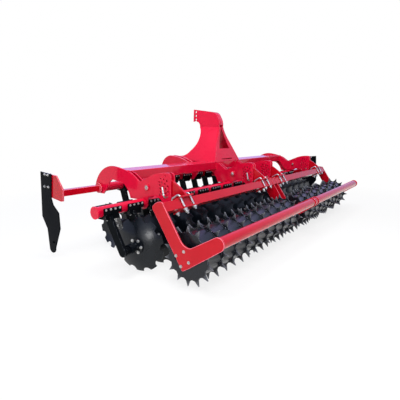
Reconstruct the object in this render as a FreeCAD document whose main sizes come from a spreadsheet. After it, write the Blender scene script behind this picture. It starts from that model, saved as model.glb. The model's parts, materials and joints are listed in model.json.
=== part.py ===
"""Mounted compact disc harrow, 4 m wide, with a toothed ring roller.

Frame of the model: +X to the machine's right, +Y forward (the way it travels), +Z up.
The origin is on the ground below the middle of the machine, which is also below the
depth pivots of the roller. All sizes are in millimetres.
"""
import FreeCAD, Part
import math
import os
import Sketcher

V = FreeCAD.Vector
doc = FreeCAD.newDocument("disc_harrow")

# ---------------------------------------------------------------- driving dimensions
SIZES = [
    # frame and its four pairs of plates
    ("pivot_height", 705, "height of the roller arms' pivot bolts above the ground"),
    ("half_length", 980, "half of the machine's length, from the pivots to either end"),
    ("half_width", 2275, "half of the machine's overall width"),
    ("end_plate_x", 1747, "outer face of an end plate, from the middle"),
    ("centre_plate_x", 272, "outer face of a centre plate, from the middle"),
    ("plate", 12, "thickness of the frame plates"),
    ("twin_gap", 34, "room between a frame plate and its inner twin, for the roller arm"),
    ("seat_gap", 0.2, "gap left where a round piece sits in a cut-out"),
    ("run_gap", 5, "running clearance beside moving pieces"),
    ("pin_gap", 0.05, "radial clearance of a bore on its pin"),
    ("hub_gap", 2, "clearance at the ends of a hub"),
    ("cut_past", 1, "how far a cutting tool reaches past what it cuts"),
    ("beam_rear_y", 250, "rear face of the main beam"),
    ("beam_depth", 250, "main beam, front to rear"),
    ("beam_top", 132, "top of the main beam above the pivots"),
    ("beam_tall", 92, "height of the main beam"),
    ("beam_wall", 8, "wall of the main beam"),
    ("nose_y", 742, "front edge of the frame plates"),
    ("crest_y", 440, "highest point of their front hump"),
    ("crest_z", 164, "height of that hump above the pivots"),
    ("notch_y", 100, "dip between their two humps"),
    ("notch_z", 43, "height of that dip above the pivots"),
    ("tail_y", -277, "rear edge of the frame plates"),
    ("tail_z", 144, "height of their rear hump above the pivots"),
    ("tail_low", 130, "lower rear corner, below the pivots"),
    ("arch_front_y", 623, "front foot of the arch over the front discs"),
    ("arch_rear_y", 228, "rear foot of that arch"),
    ("arch_z", 20, "top of that arch above the pivots"),
    ("lobe_drop", 122, "lower edge of the frame plates, below the pivots"),
    ("foot_rim", 12, "plate left round a tool tube"),
    ("depth_hole", 9, "radius of the depth setting holes"),
    ("depth_columns", 4, "columns of those holes"),
    ("depth_rows", 5, "holes in a column"),
    ("depth_first", 155, "first column, from the pivot"),
    ("depth_step", 30, "from column to column"),
    ("depth_start", 20, "highest hole of a column below the level of the pivot, degrees"),
    ("depth_turn", 11, "from hole to hole in a column, degrees"),
    ("tube_radius", 44.5, "tool tubes, outer radius"),
    ("tube_wall", 8, "wall of the tool tubes"),
    ("tube_past", 6, "how far a tool tube passes the end plate at its short end"),
    ("front_tube_reach", 2180, "right end of the front tool tube, from the middle"),
    ("cap_radius", 52, "flange that closes a tool tube"),
    ("cap_thick", 12, "thickness of that flange"),
    ("front_tube_y", 686, "front tool tube, ahead of the pivots"),
    ("front_tube_drop", 68, "front tool tube, below the pivots"),
    ("rear_tube_y", 62, "rear tool tube, ahead of the pivots"),
    ("rear_tube_drop", 149, "rear tool tube, below the pivots"),
    # discs and their arms
    ("front_discs", 15, "discs in the front row"),
    ("rear_discs", 16, "discs in the rear row"),
    ("disc_pitch", 250, "from disc to disc"),
    ("disc_radius", 240, "disc, to the rim"),
    ("disc_dish", 52, "depth of the dish"),
    ("disc_flat", 75, "radius of the flat middle of a disc"),
    ("disc_thick", 6, "thickness of a disc"),
    ("notches", 10, "notches round a disc"),
    ("notch_radius", 38, "radius of a notch"),
    ("notch_depth", 32, "depth of a notch"),
    ("disc_yaw", 12.5, "angle between a disc and the way of travel, degrees"),
    ("rear_disc_x", -1986, "first rear disc's middle, from the machine's middle"),
    ("front_disc_x", -1625, "first front disc's middle, from the machine's middle"),
    ("rear_disc_y", -93, "rear discs' middles, behind the pivots"),
    ("front_disc_y", 600, "front discs' middles, ahead of the pivots"),
    ("hub_flange_radius", 70, "flange of a hub, which the disc is bolted to"),
    ("hub_flange", 14, "thickness of that flange"),
    ("hub_radius", 42, "bearing housing of a hub"),
    ("hub_length", 118, "length of the hub behind the disc"),
    ("hub_stand", 47.5, "from the hub's end to the arm, along the disc's axis"),
    ("spindle_radius", 20, "spindle that carries a hub"),
    ("shoulder_radius", 32, "shoulder of the spindle, welded to the arm"),
    ("arm_thick", 25, "thickness of a disc arm"),
    ("arm_wide", 80, "width of a disc arm"),
    ("clamp_wide", 134, "clamp of a disc arm, along the tube"),
    ("rear_clamp_shift", 12, "middle of a rear clamp, from its bar towards the disc"),
    ("front_clamp_shift", -50, "middle of a front clamp, from its bar towards the disc"),
    ("clamp_deep", 128, "clamp of a disc arm, front to rear"),
    ("clamp_over", 22, "top of a clamp above the tube's middle"),
    ("clamp_under", 64, "foot of a clamp below the tube's middle"),
    # headstock
    ("tower_plate", 20, "thickness of the tower's side plates"),
    ("tower_flange", 12, "thickness of the flange along a leg's rear edge"),
    ("flange_foot", 84, "width of that flange at the beam"),
    ("flange_head", 24, "width of that flange at the bend"),
    ("panel_top", 294, "top of the panel between the legs, above the pivots"),
    ("panel_thick", 10, "thickness of that panel"),
    ("link_slot", 60, "room between the side plates at the top link"),
    ("tower_foot_x", 297, "outer face of a side plate at the beam, from the middle"),
    ("bend_z", 575, "bend of the side plates above the pivots"),
    ("bend_rear_y", 365, "rear edge of the side plates at the bend"),
    ("bend_front_y", 677, "front edge of the side plates at the bend"),
    ("bend_lap", 8, "how far a side plate's upper part reaches below the bend"),
    ("knee_y", 330, "knee in a leg's rear edge, ahead of the pivots"),
    ("knee_z", 380, "height of that knee above the pivots"),
    ("toe_y", 860, "front end of a leg, where the hitch beam ends too"),
    ("panel_slot", 260, "length of the slot along the panel's foot"),
    ("panel_slot_tall", 12, "height of that slot"),
    ("panel_slot_z", 22, "foot of that slot above the beam"),
    ("link_y", 750, "top link hole, ahead of the pivots"),
    ("link_hole", 16, "radius of the top link holes"),
    ("link_step", 50, "between top link holes"),
    ("mast_height", 685, "middle top link hole above the lower link pins"),
    ("hitch_z", 44, "lower link pins above the pivots"),
    ("hitch_spread", 965, "lower link pins, between the middles of the two brackets"),
    ("hitch_slot", 60, "room between the two plates of a hitch bracket"),
    ("hitch_plate", 20, "thickness of the hitch bracket's plates"),
    ("hitch_hole", 18.5, "radius of the lower link pin holes"),
    ("hitch_y", 900, "lower link pins, ahead of the pivots"),
    ("hitch_end", 62, "radius of a hitch bracket's rounded end"),
    ("hitch_beam_deep", 90, "hitch beam, front to rear"),
    ("hitch_beam_low", 62, "underside of the hitch beam above the pivots"),
    ("hitch_beam_wall", 6, "wall of the hitch beam"),
    # side deflectors
    ("deflector_x", 2212, "outer face of the left blade, from the middle"),
    ("deflector_arm", 60, "side of the deflector's square arm"),
    ("deflector_wall", 6, "wall of that arm"),
    ("blade_thick", 12, "thickness of a deflector blade and its bracket"),
    ("blade_tall", 781, "height of a blade"),
    ("blade_tip", 42, "tip of a blade above the ground"),
    # roller and its frame
    ("roller_over", 253, "outer face of a roller side plate, outside the end plate"),
    ("side_plate", 14, "thickness of the roller side plates"),
    ("centre_x", 62, "outer face of the roller's two centre plates, from the middle"),
    ("roller_y", -610, "roller's axis, behind the pivots"),
    ("tip_radius", 245, "roller, to the tips of the teeth"),
    ("tooth_foot", 198, "roller, to the feet of the teeth's flanks"),
    ("ring_radius", 186, "roller, to the rim of a ring between its teeth"),
    ("drum_radius", 180, "roller's drum"),
    ("drum_wall", 8, "wall of the roller's drum"),
    ("ring_count", 10, "toothed rings on one half of the roller"),
    ("teeth", 14, "teeth on a ring"),
    ("ring_thick", 12, "thickness of a toothed ring"),
    ("journal_radius", 30, "roller's journal"),
    ("bearing_side", 130, "side of a bearing's square flange"),
    ("bearing_long", 46, "length of a bearing"),
    ("bearing_flange", 16, "thickness of that flange"),
    ("bearing_rim", 20, "bearing's wall round the journal"),
    ("bearing_turn", 33, "turn of a bearing's flange, square to the plate's rear arm, degrees"),
    ("journal_gap", 2, "clearance at the end of a journal"),
    ("roller_beam", 80, "side of the roller frame's front beam"),
    ("roller_beam_wall", 6, "wall of that beam"),
    ("roller_beam_y", -395, "middle of that beam, behind the pivots"),
    ("roller_beam_drop", 105, "middle of that beam, below the pivots"),
    ("roller_beam_lean", 32.7, "lean of that beam, degrees"),
    ("bar_radius", 45, "rear bar of the roller frame"),
    ("bar_wall", 6, "wall of that bar"),
    ("bar_drop", 285, "rear bar, below the pivots"),
    ("bar_rim", 8, "side plate left round the rear bar"),
    ("pivot_radius", 15, "pivot bolts of the roller arms"),
    ("bolt_end", 14, "how far a pivot bolt stands out of its plates"),
    ("bolt_rim", 8, "rim of its head and nut round the bolt"),
    ("bolt_head", 10, "height of its head and nut"),
    ("bolt_washer", 1, "washer under its nut"),
    ("pin_play", 1, "radial play of a depth pin in its hole"),
    ("pin_past", 12, "how far a depth pin passes its plates"),
    ("pin_out", 40, "how far it stands out to its handle"),
    ("pin_handle", 90, "height of its handle"),
    ("pin_lean", 20, "how far forward the handle leans"),
    ("arm_boss", 46, "eye of a roller arm, outer radius"),
    ("arm_plate", 24, "thickness of a roller arm"),
    ("foot_plate", 12, "foot plate of a roller arm"),
    ("foot_wide", 170, "foot plate, along the beam"),
    ("u_rod", 8, "radius of the U bolts' rod"),
    ("u_spacing", 125, "between the two U bolts of an arm"),
    ("u_gap", 1, "room between a U bolt and the beam, and over its foot plate"),
    ("u_thread", 26, "how far a U bolt reaches below the backing plate"),
    ("u_nut_rim", 6, "rim of its nuts round the rod"),
    ("u_nut_tall", 13, "height of its nuts"),
    ("foot_past", 36, "how far a foot plate passes the beam"),
    ("foot_half", 70, "half of an arm's foot, along its foot plate"),
]
sheet = doc.addObject("Spreadsheet::Sheet", "sizes")
for line, (alias, value, meaning) in enumerate(SIZES, 1):
    sheet.set(f"A{line}", meaning)
    sheet.set(f"B{line}", str(value))
    sheet.setAlias(f"B{line}", alias)
doc.recompute()


class Sizes:
    """Reads a driving dimension from the sheet by its name."""

    def __getattr__(self, alias):
        return float(getattr(sheet, alias))


S = Sizes()

# ---------------------------------------------------------------- ways of making a piece
nodes = {}


def keep(label, thing):
    """Names a finished sub-part; every kept one becomes a file."""
    thing.Label = label
    nodes[label] = thing
    return thing


def sketch_in(body, role, name):
    """A sketch on one of the body's own origin planes."""
    plane = next(f for f in body.Origin.OriginFeatures if f.Role == role)
    sketch = body.newObject("Sketcher::SketchObject", name)
    sketch.AttachmentSupport = (plane, [""])
    sketch.MapMode = "FlatFace"
    return sketch


def draw(sketch, path):
    """Closed outline: a pair is the end of a line, two pairs are the middle and end of an arc."""
    ends = [step if isinstance(step[0], (int, float)) else step[1] for step in path]
    for index, step in enumerate(path):
        start = V(*ends[index - 1], 0)
        end = V(*ends[index], 0)
        if isinstance(step[0], (int, float)):
            sketch.addGeometry(Part.LineSegment(start, end))
        else:
            sketch.addGeometry(Part.Arc(start, V(*step[0], 0), end))


def ring(sketch, across, up, radius):
    """A round hole in a sketch; radius is an expression on the sheet."""
    circle = sketch.addGeometry(Part.Circle(V(across, up, 0), V(0, 0, 1), 1))
    row = sketch.addConstraint(Sketcher.Constraint("Radius", circle, 1))
    sketch.setExpression(f"Constraints[{row}]", radius)


def plate(name, path, thick, holes=()):
    """A flat plate padded from an outline, along +X from the YZ plane."""
    body = doc.addObject("PartDesign::Body", name)
    sketch = sketch_in(body, "YZ_Plane", name + "_outline")
    draw(sketch, path)
    for hole in holes:
        ring(sketch, *hole)
    pad = body.newObject("PartDesign::Pad", name + "_pad")
    pad.Profile = sketch
    pad.setExpression("Length", thick)
    return body


def place(thing, **where):
    """Binds a sub-part's place to the sheet: x, y and z are expressions."""
    for axis, expression in where.items():
        thing.setExpression(f".Placement.Base.{axis}", expression)
    return thing


def tube_x(name, outer, inner, start, length, y, z):
    """A round tube along X, all sizes as expressions; inner None makes a solid bar."""
    parts = []
    for which, radius in (("outer", outer), ("inner", inner)):
        if radius is None:
            continue
        rod = doc.addObject("Part::Cylinder", f"{name}_{which}")
        rod.setExpression("Radius", radius)
        rod.setExpression("Height", length)
        rod.Placement = FreeCAD.Placement(V(), FreeCAD.Rotation(V(0, 1, 0), 90))
        place(rod, x=start, y=y, z=z)
        parts.append(rod)
    if len(parts) == 1:
        return parts[0]
    cut = doc.addObject("Part::Cut", name)
    cut.Base, cut.Tool = parts
    return cut


def fused(name, pieces):
    """Pieces welded into one solid."""
    union = doc.addObject("Part::MultiFuse", name)
    union.Shapes = pieces
    return union


def group(name, pieces):
    """Like pieces on one body, kept apart as solids of one sub-part."""
    pack = doc.addObject("Part::Compound", name)
    pack.Links = pieces
    return pack


def shaped(name, shape):
    """A sub-part whose shape is worked out here from the sheet."""
    thing = doc.addObject("Part::Feature", name)
    thing.Shape = shape
    return thing


def rod_along(points, radius):
    """A bent round rod through square corners, rounded at three times its radius."""
    bend = 3 * radius
    edges = []
    start = points[0]
    for before, corner, after in zip(points, points[1:], points[2:]):
        into = (corner - before).normalize()
        out = (after - corner).normalize()
        first = corner - into * bend
        last = corner + out * bend
        middle = corner + (out - into) * (bend * (1 - math.sqrt(0.5)))
        edges.append(Part.makeLine(start, first))
        edges.append(Part.Arc(first, middle, last).toShape())
        start = last
    edges.append(Part.makeLine(start, points[-1]))
    path = Part.Wire(edges)
    round_end = Part.Wire(Part.makeCircle(radius, points[0], (points[1] - points[0])))
    return path.makePipeShell([round_end], True, False)


def box_between(low, high):
    """A box from its low corner to its high corner."""
    return Part.makeBox(high[0] - low[0], high[1] - low[1], high[2] - low[2], V(*low))


def outline_x(x, path):
    """A closed wire in the plane at x; a pair ends a line, two pairs an arc."""
    ends = [step if isinstance(step[0], (int, float)) else step[1] for step in path]
    edges = []
    for index, step in enumerate(path):
        start = V(x, *ends[index - 1])
        end = V(x, *ends[index])
        if isinstance(step[0], (int, float)):
            edges.append(Part.makeLine(start, end))
        else:
            edges.append(Part.Arc(start, V(x, *step[0]), end).toShape())
    return Part.Wire(edges)


def extruded(path, x, thick):
    """A flat piece from an outline in the YZ plane."""
    return Part.Face(outline_x(x, path)).extrude(V(thick, 0, 0))


# ---------------------------------------------------------------- frame plates
def tube_seat(y, drop):
    """Hole for a tool tube."""
    return (y, -drop, "sizes.tube_radius + sizes.seat_gap")


def over_tube():
    """Height of an edge that passes over the rear tool tube."""
    return -S.rear_tube_drop + S.tube_radius + S.run_gap


def rear_profile():
    """Upper edge from the dip over the rear hump and tail to the arch over the rear discs."""
    return [
        (S.notch_y - 139, S.notch_z + 60),
        ((S.tail_y / 2, S.tail_z - 8), (S.tail_y + 48, S.tail_z)),
        ((S.tail_y + 11, S.tail_z - 11), (S.tail_y, S.tail_z - 44)),
        (S.tail_y, -S.tail_low),
        (S.tail_y + 96, -S.tail_low + 18),
        ((-85, -70), (-5, over_tube())),
    ]


def depth_hole_at(column, row):
    """Middle of one depth hole: y and z from the pivot. Odd columns are set half a step up."""
    radius = S.depth_first + S.depth_step * column
    angle = math.radians(180 + S.depth_start - S.depth_turn * (row + column % 2 / 2))
    return (radius * math.cos(angle), radius * math.sin(angle))


def depth_holes():
    """Holes for the pins that set the roller's depth, on arcs round the pivot."""
    return [
        (*depth_hole_at(column, row), "sizes.depth_hole")
        for column in range(int(S.depth_columns))
        for row in range(int(S.depth_rows))
    ]


def frame_plate(name):
    """One full frame plate with both humps, the arch over the front discs and its holes."""
    reach = S.tube_radius + S.foot_rim
    foot_y, foot_z = S.rear_tube_y, -S.rear_tube_drop
    path = [
        (S.nose_y - 12, -S.lobe_drop),
        (S.nose_y, -24),
        ((S.nose_y - 99, 107), (S.crest_y, S.crest_z)),
        ((304, 141), (200, 110)),
        (S.notch_y, S.notch_z),
    ] + rear_profile() + [
        (foot_y - reach, foot_z),
        ((foot_y, foot_z - reach), (foot_y + reach, foot_z)),
        (foot_y + reach, -S.lobe_drop),
        (S.arch_rear_y, -S.lobe_drop),
        ((S.arch_rear_y + 40, -40), (S.arch_rear_y + 105, S.arch_z - 5)),
        (477, S.arch_z + 13),
        ((508, S.arch_z - 4), (552, -47)),
        (S.arch_front_y, -S.lobe_drop),
    ]
    holes = depth_holes() + [
        tube_seat(S.front_tube_y, S.front_tube_drop),
        tube_seat(S.rear_tube_y, S.rear_tube_drop),
        (0, 0, "sizes.pivot_radius"),
    ]
    return plate(name, path, "sizes.plate", holes)


def twin_plate(name):
    """The shorter plate beside it, from the main beam, that holds the pivot bolt's other end."""
    path = rear_profile() + [
        (130, over_tube()),
        (S.beam_rear_y, S.beam_top - S.beam_tall),
        (S.beam_rear_y, S.beam_top - 8),
        (200, 110),
        (S.notch_y, S.notch_z),
    ]
    holes = depth_holes() + [(0, 0, "sizes.pivot_radius")]
    return plate(name, path, "sizes.plate", holes)


def plate_pair(label, side, edge):
    """Frame plate and twin at one station; side is 1 on the right, edge its outer face."""
    outer = frame_plate(label + "_main")
    inner = twin_plate(label + "_twin")
    if side > 0:
        place(outer, x=f"sizes.{edge} - sizes.plate", z="sizes.pivot_height")
        place(inner, x=f"sizes.{edge} - 2 * sizes.plate - sizes.twin_gap", z="sizes.pivot_height")
    else:
        place(outer, x=f"-sizes.{edge}", z="sizes.pivot_height")
        place(inner, x=f"-sizes.{edge} + sizes.plate + sizes.twin_gap", z="sizes.pivot_height")
    return [outer, inner]


keep("end_plate_left", group("end_plate_left", plate_pair("end_left", -1, "end_plate_x")))
keep("end_plate_right", group("end_plate_right", plate_pair("end_right", 1, "end_plate_x")))

# the main beam runs through the centre plates
beam = plate(
    "beam_section",
    [
        (S.beam_rear_y, S.beam_top - S.beam_tall),
        (S.beam_rear_y + S.beam_depth, S.beam_top - S.beam_tall),
        (S.beam_rear_y + S.beam_depth, S.beam_top),
        (S.beam_rear_y, S.beam_top),
    ],
    "2 * (sizes.end_plate_x - sizes.plate)",
)
place(beam, x="-sizes.end_plate_x + sizes.plate", z="sizes.pivot_height")
beam_hollow = doc.addObject("Part::Box", "beam_hollow")
beam_hollow.setExpression("Length", "2 * sizes.end_plate_x")
beam_hollow.setExpression("Width", "sizes.beam_depth - 2 * sizes.beam_wall")
beam_hollow.setExpression("Height", "sizes.beam_tall - 2 * sizes.beam_wall")
place(
    beam_hollow,
    x="-sizes.end_plate_x",
    y="sizes.beam_rear_y + sizes.beam_wall",
    z="sizes.pivot_height + sizes.beam_top - sizes.beam_tall + sizes.beam_wall",
)
main_beam = doc.addObject("Part::Cut", "main_beam")
main_beam.Base = beam
main_beam.Tool = beam_hollow
keep("main_beam", main_beam)

centre = group("centre_whole", plate_pair("centre_left", -1, "centre_plate_x")
               + plate_pair("centre_right", 1, "centre_plate_x"))
beam_room = doc.addObject("Part::Box", "beam_room")
beam_room.setExpression("Length", "4 * sizes.centre_plate_x")
beam_room.setExpression("Width", "sizes.beam_depth")
beam_room.setExpression("Height", "sizes.beam_tall + sizes.crest_z")
place(
    beam_room,
    x="-2 * sizes.centre_plate_x",
    y="sizes.beam_rear_y",
    z="sizes.pivot_height + sizes.beam_top - sizes.beam_tall",
)
# ahead of the beam their hump ends level with its top, below the headstock's feet
foot_room = doc.addObject("Part::Box", "foot_room")
foot_room.setExpression("Length", "4 * sizes.centre_plate_x")
foot_room.setExpression("Width", "sizes.nose_y - sizes.beam_rear_y")
foot_room.setExpression("Height", "sizes.beam_tall + sizes.crest_z")
place(
    foot_room,
    x="-2 * sizes.centre_plate_x",
    y="sizes.beam_rear_y",
    z="sizes.pivot_height + sizes.beam_top",
)
centre_plates = doc.addObject("Part::Cut", "centre_plates")
centre_plates.Base = centre
centre_plates.Tool = fused("centre_rooms", [beam_room, foot_room])
keep("centre_plates", centre_plates)

# ---------------------------------------------------------------- tool tubes
SHORT_END = "(sizes.end_plate_x + sizes.tube_past)"


def tool_tube(label, side, y, drop, reach):
    """A tool tube that passes one end plate and reaches past the other; side is its long end."""
    start = f"-{SHORT_END}" if side > 0 else f"-{reach}"
    length = f"({reach} + {SHORT_END})"
    height = f"sizes.pivot_height - {drop}"
    pipe = tube_x(label + "_pipe", "sizes.tube_radius", "sizes.tube_radius - sizes.tube_wall",
                  start, length, y, height)
    cap_start = reach if side > 0 else f"-{reach} - sizes.cap_thick"
    cap = tube_x(label + "_cap", "sizes.cap_radius", None, cap_start, "sizes.cap_thick", y, height)
    return keep(label, fused(label, [pipe, cap]))


tool_tube("front_tool_tube", 1, "sizes.front_tube_y", "sizes.front_tube_drop", "sizes.front_tube_reach")
tool_tube("rear_tool_tube", -1, "sizes.rear_tube_y", "sizes.rear_tube_drop",
          "(sizes.half_width - sizes.cap_thick)")

# ---------------------------------------------------------------- discs and their arms
def disc_profile():
    """Half section of a dished disc with its hub: across is the axis, up is the radius."""
    bore = S.spindle_radius + S.pin_gap
    rise = S.disc_radius - S.disc_flat
    middle_r = S.disc_flat + rise * 0.5
    middle_x = S.disc_dish * 0.36
    return [
        (S.disc_thick, 0),
        (S.disc_thick, S.disc_flat),
        ((middle_x + S.disc_thick, middle_r), (S.disc_dish + S.disc_thick / 2, S.disc_radius)),
        (S.disc_dish, S.disc_radius),
        ((middle_x, middle_r), (0, S.disc_flat)),
        (0, S.hub_flange_radius),
        (-S.hub_flange, S.hub_flange_radius),
        (-S.hub_flange, S.hub_radius),
        (-S.hub_length, S.hub_radius),
        (-S.hub_length, bore),
        (-S.hub_flange, bore),
        (-S.hub_flange, 0),
    ]


disc = doc.addObject("PartDesign::Body", "disc")
section = sketch_in(disc, "XY_Plane", "disc_section")
draw(section, disc_profile())
turned = disc.newObject("PartDesign::Revolution", "disc_turned")
turned.Profile = section
turned.ReferenceAxis = (section, ["H_Axis"])
turned.Angle = 360
bite = sketch_in(disc, "YZ_Plane", "disc_bite")
half_pitch = math.pi / S.notches
bite_r = S.disc_radius + S.notch_radius - S.notch_depth
ring(bite, bite_r * math.sin(half_pitch), -bite_r * math.cos(half_pitch), "sizes.notch_radius")
notch = disc.newObject("PartDesign::Pocket", "disc_notch")
notch.Profile = bite
notch.Type = 1
notch.Midplane = True
notches = disc.newObject("PartDesign::PolarPattern", "disc_notches")
notches.Originals = [notch]
notches.Axis = (section, ["H_Axis"])
notches.Angle = 360
notches.setExpression("Occurrences", "sizes.notches")
disc.Tip = notches
doc.recompute()


def arm_solid(side, tube_y, tube_drop, disc_y, clamp_shift):
    """One disc arm about its disc's middle: clamp, flat bar, shoulder and spindle.

    side is 1 where the dish opens to the right. The disc's middle is at X 0.
    """
    yaw = math.radians(S.disc_yaw)
    axis = V(side * math.cos(yaw), math.sin(yaw), 0)
    middle = V(0, disc_y, S.disc_radius)
    seat = middle - axis * (S.hub_length + S.hub_stand)
    bar_x = seat.x - side * S.arm_thick / 2
    tube = V(bar_x, tube_y, S.pivot_height - tube_drop)
    foot = V(bar_x, seat.y, seat.z)
    down_bar = V(foot - tube).normalize()
    across = down_bar.cross(V(1, 0, 0)) * (S.arm_wide / 2)
    end = foot + down_bar * (S.arm_wide / 2)
    outline = [tube + across, tube - across, foot - across, end, foot + across]
    near = V(-S.arm_thick / 2, 0, 0)
    corners = [near + point for point in outline]
    edges = [Part.makeLine(corners[index], corners[index + 1]) for index in (0, 1)]
    edges.append(Part.Arc(corners[2], corners[3], corners[4]).toShape())
    edges.append(Part.makeLine(corners[4], corners[0]))
    bar = Part.Face(Part.Wire(edges)).extrude(V(S.arm_thick, 0, 0))
    clamp_x = bar_x + side * clamp_shift
    clamp = box_between(
        (clamp_x - S.clamp_wide / 2, tube.y - S.clamp_deep / 2, tube.z - S.clamp_under),
        (clamp_x + S.clamp_wide / 2, tube.y + S.clamp_deep / 2, tube.z + S.clamp_over),
    )
    root = seat - axis * (S.arm_thick / 2)
    shoulder = Part.makeCylinder(S.shoulder_radius, S.hub_stand - S.hub_gap + S.arm_thick / 2, root, axis)
    spindle_long = S.arm_thick / 2 + S.hub_stand + S.hub_length - S.hub_flange - S.hub_gap
    spindle = Part.makeCylinder(S.spindle_radius, spindle_long, root, axis)
    room = Part.makeCylinder(
        S.tube_radius + S.seat_gap, 2 * S.clamp_wide,
        V(clamp_x - S.clamp_wide, tube.y, tube.z), V(1, 0, 0),
    )
    return bar.fuse([clamp, spindle, shoulder]).cut(room).removeSplitter()


def disc_row(row, side, count, first_x, disc_y, tube_y, tube_drop, clamp_shift):
    """A row of discs, each a sub-part that turns, and one sub-part with their arms."""
    arm = arm_solid(side, tube_y, tube_drop, disc_y, clamp_shift)
    turn = S.disc_yaw if side > 0 else 180 - S.disc_yaw
    arms = []
    for index in range(int(count)):
        x = first_x + index * S.disc_pitch
        label = f"disc_{row}_{index + 1:02d}"
        thing = keep(label, shaped(label, disc.Shape.copy()))
        thing.Placement = FreeCAD.Placement(V(x, disc_y, S.disc_radius), FreeCAD.Rotation(V(0, 0, 1), turn))
        arms.append(arm.translated(V(x, 0, 0)))
    keep(f"{row}_disc_arms", shaped(f"{row}_disc_arms", Part.makeCompound(arms)))


disc_row("front", -1, S.front_discs, S.front_disc_x, S.front_disc_y,
         S.front_tube_y, S.front_tube_drop, S.front_clamp_shift)
disc_row("rear", 1, S.rear_discs, S.rear_disc_x, S.rear_disc_y,
         S.rear_tube_y, S.rear_tube_drop, S.rear_clamp_shift)

# ---------------------------------------------------------------- headstock
lean = math.atan2(S.tower_foot_x - S.link_slot / 2 - S.tower_plate, S.bend_z - S.beam_top)


def down(height):
    """Distance down the leaning plate from its bend to a height above the pivots."""
    return -(S.bend_z - height) / math.cos(lean)


def leg_inner(height):
    """Inner face of a leaning leg, from the middle, at a height above the pivots."""
    return S.link_slot / 2 + (S.bend_z - height) * math.tan(lean) - S.tower_plate * (1 / math.cos(lean) - 1)


def rear_edge(height):
    """Rear edge of a leg at a height above the pivots."""
    slope = (S.knee_y - S.beam_rear_y) / (S.knee_z - S.beam_top)
    return S.beam_rear_y + (height - S.beam_top) * slope


def flange_wide(height):
    """Width of the flange on a leg's rear edge at a height above the pivots."""
    rise = (height - S.beam_top) / (S.bend_z - S.beam_top)
    return S.flange_foot + (S.flange_head - S.flange_foot) * rise


def strip_between(low, high, depth):
    """A flat strip from its low edge to its high edge; each is a height, a y and two x."""
    (z_low, y_low, start_low, end_low), (z_high, y_high, start_high, end_high) = low, high
    corners = [V(start_low, y_low, z_low), V(end_low, y_low, z_low),
               V(end_high, y_high, z_high), V(start_high, y_high, z_high)]
    return Part.Face(Part.makePolygon(corners + corners[:1])).extrude(V(0, depth, 0))


def leg_flange(side):
    """Flange along the rear edge of a leg, tapering to the bend."""
    edges = []
    for height, y in ((S.beam_top, S.beam_rear_y), (S.knee_z, S.knee_y), (S.bend_z, S.bend_rear_y)):
        inner = leg_inner(height)
        edges.append((height, y, side * (inner - flange_wide(height)), side * (inner + S.tower_plate / 2)))
    low = strip_between(edges[0], edges[1], S.tower_flange)
    return low.fuse(strip_between(edges[1], edges[2], S.tower_flange)).removeSplitter()


# curved rear edge of the tower head, which the cap follows
HEAD_CURVE = [((425, 750), (400, 712)), ((366, 640), (362, 600))]


def tower_side(name, side):
    """A side plate: upright above its bend, leaning outwards below it."""
    link_middle = S.hitch_z + S.mast_height
    link_holes = [(S.link_y, link_middle + step * S.link_step, "sizes.link_hole") for step in (-1, 0, 1)]
    upper = plate(
        name + "_upper",
        [
            (S.bend_rear_y, S.bend_z - S.bend_lap),
            (S.bend_front_y, S.bend_z - S.bend_lap),
            ((700, S.bend_z + 62), (790, 648)),
            (784, 814),
            (470, 770),
            *HEAD_CURVE,
        ],
        "sizes.tower_plate",
        link_holes,
    )
    lower = plate(
        name + "_lower",
        [
            (S.beam_rear_y, down(S.beam_top) - S.tower_plate),
            (S.beam_rear_y, down(S.beam_top)),
            (S.knee_y, down(S.knee_z)),
            ((352, down(450)), (S.bend_rear_y, 0)),
            (S.bend_front_y, 0),
            ((627, down(410)), (708, down(256))),
            ((765, down(205)), (850, down(188))),
            (S.toe_y, down(S.beam_top)),
            (S.toe_y, down(S.beam_top) - S.tower_plate),
        ],
        "sizes.tower_plate",
    )
    if side > 0:
        place(upper, x="sizes.link_slot / 2", z="sizes.pivot_height")
        shift = S.link_slot / 2
    else:
        place(upper, x="-sizes.link_slot / 2 - sizes.tower_plate", z="sizes.pivot_height")
        shift = -S.link_slot / 2 - S.tower_plate
    lower.Placement = FreeCAD.Placement(
        V(shift, 0, S.pivot_height + S.bend_z),
        FreeCAD.Rotation(V(0, 1, 0), -side * math.degrees(lean)),
    )
    flange = leg_flange(side).translated(V(0, 0, S.pivot_height))
    leg = fused(name + "_leg", [upper, lower, shaped(name + "_flange", flange)])
    ground = doc.addObject("Part::Box", name + "_ground")
    ground.setExpression("Length", "4 * sizes.tower_foot_x")
    ground.setExpression("Width", "sizes.half_length")
    ground.setExpression("Height", "sizes.pivot_height + sizes.beam_top")
    place(ground, x="-2 * sizes.tower_foot_x")
    seated = doc.addObject("Part::Cut", name)
    seated.Base = leg
    seated.Tool = ground
    return seated


keep("tower_plates", group("tower_plates", [tower_side("tower_left", -1), tower_side("tower_right", 1)]))

# bent strip that closes the top and the rear of the tower head
cap_path = [
    (700, 791),
    (470, 765),
    *HEAD_CURVE,
    (374, 600),
    ((378, 640), (411, 706)),
    ((432, 740), (472, 754)),
    (702, 780),
]
cap = plate("cap_strip", cap_path, "sizes.link_slot - 2 * sizes.seat_gap")
place(cap, x="-sizes.link_slot / 2 + sizes.seat_gap", z="sizes.pivot_height")
keep("tower_cap", cap)

# cross panel between the legs' flanges, slotted along its foot
def panel_edge(height):
    """Edge of the panel at a height, clear of both flanges."""
    half = leg_inner(height) - flange_wide(height) - S.seat_gap
    return (height, rear_edge(height), -half, half)


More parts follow.
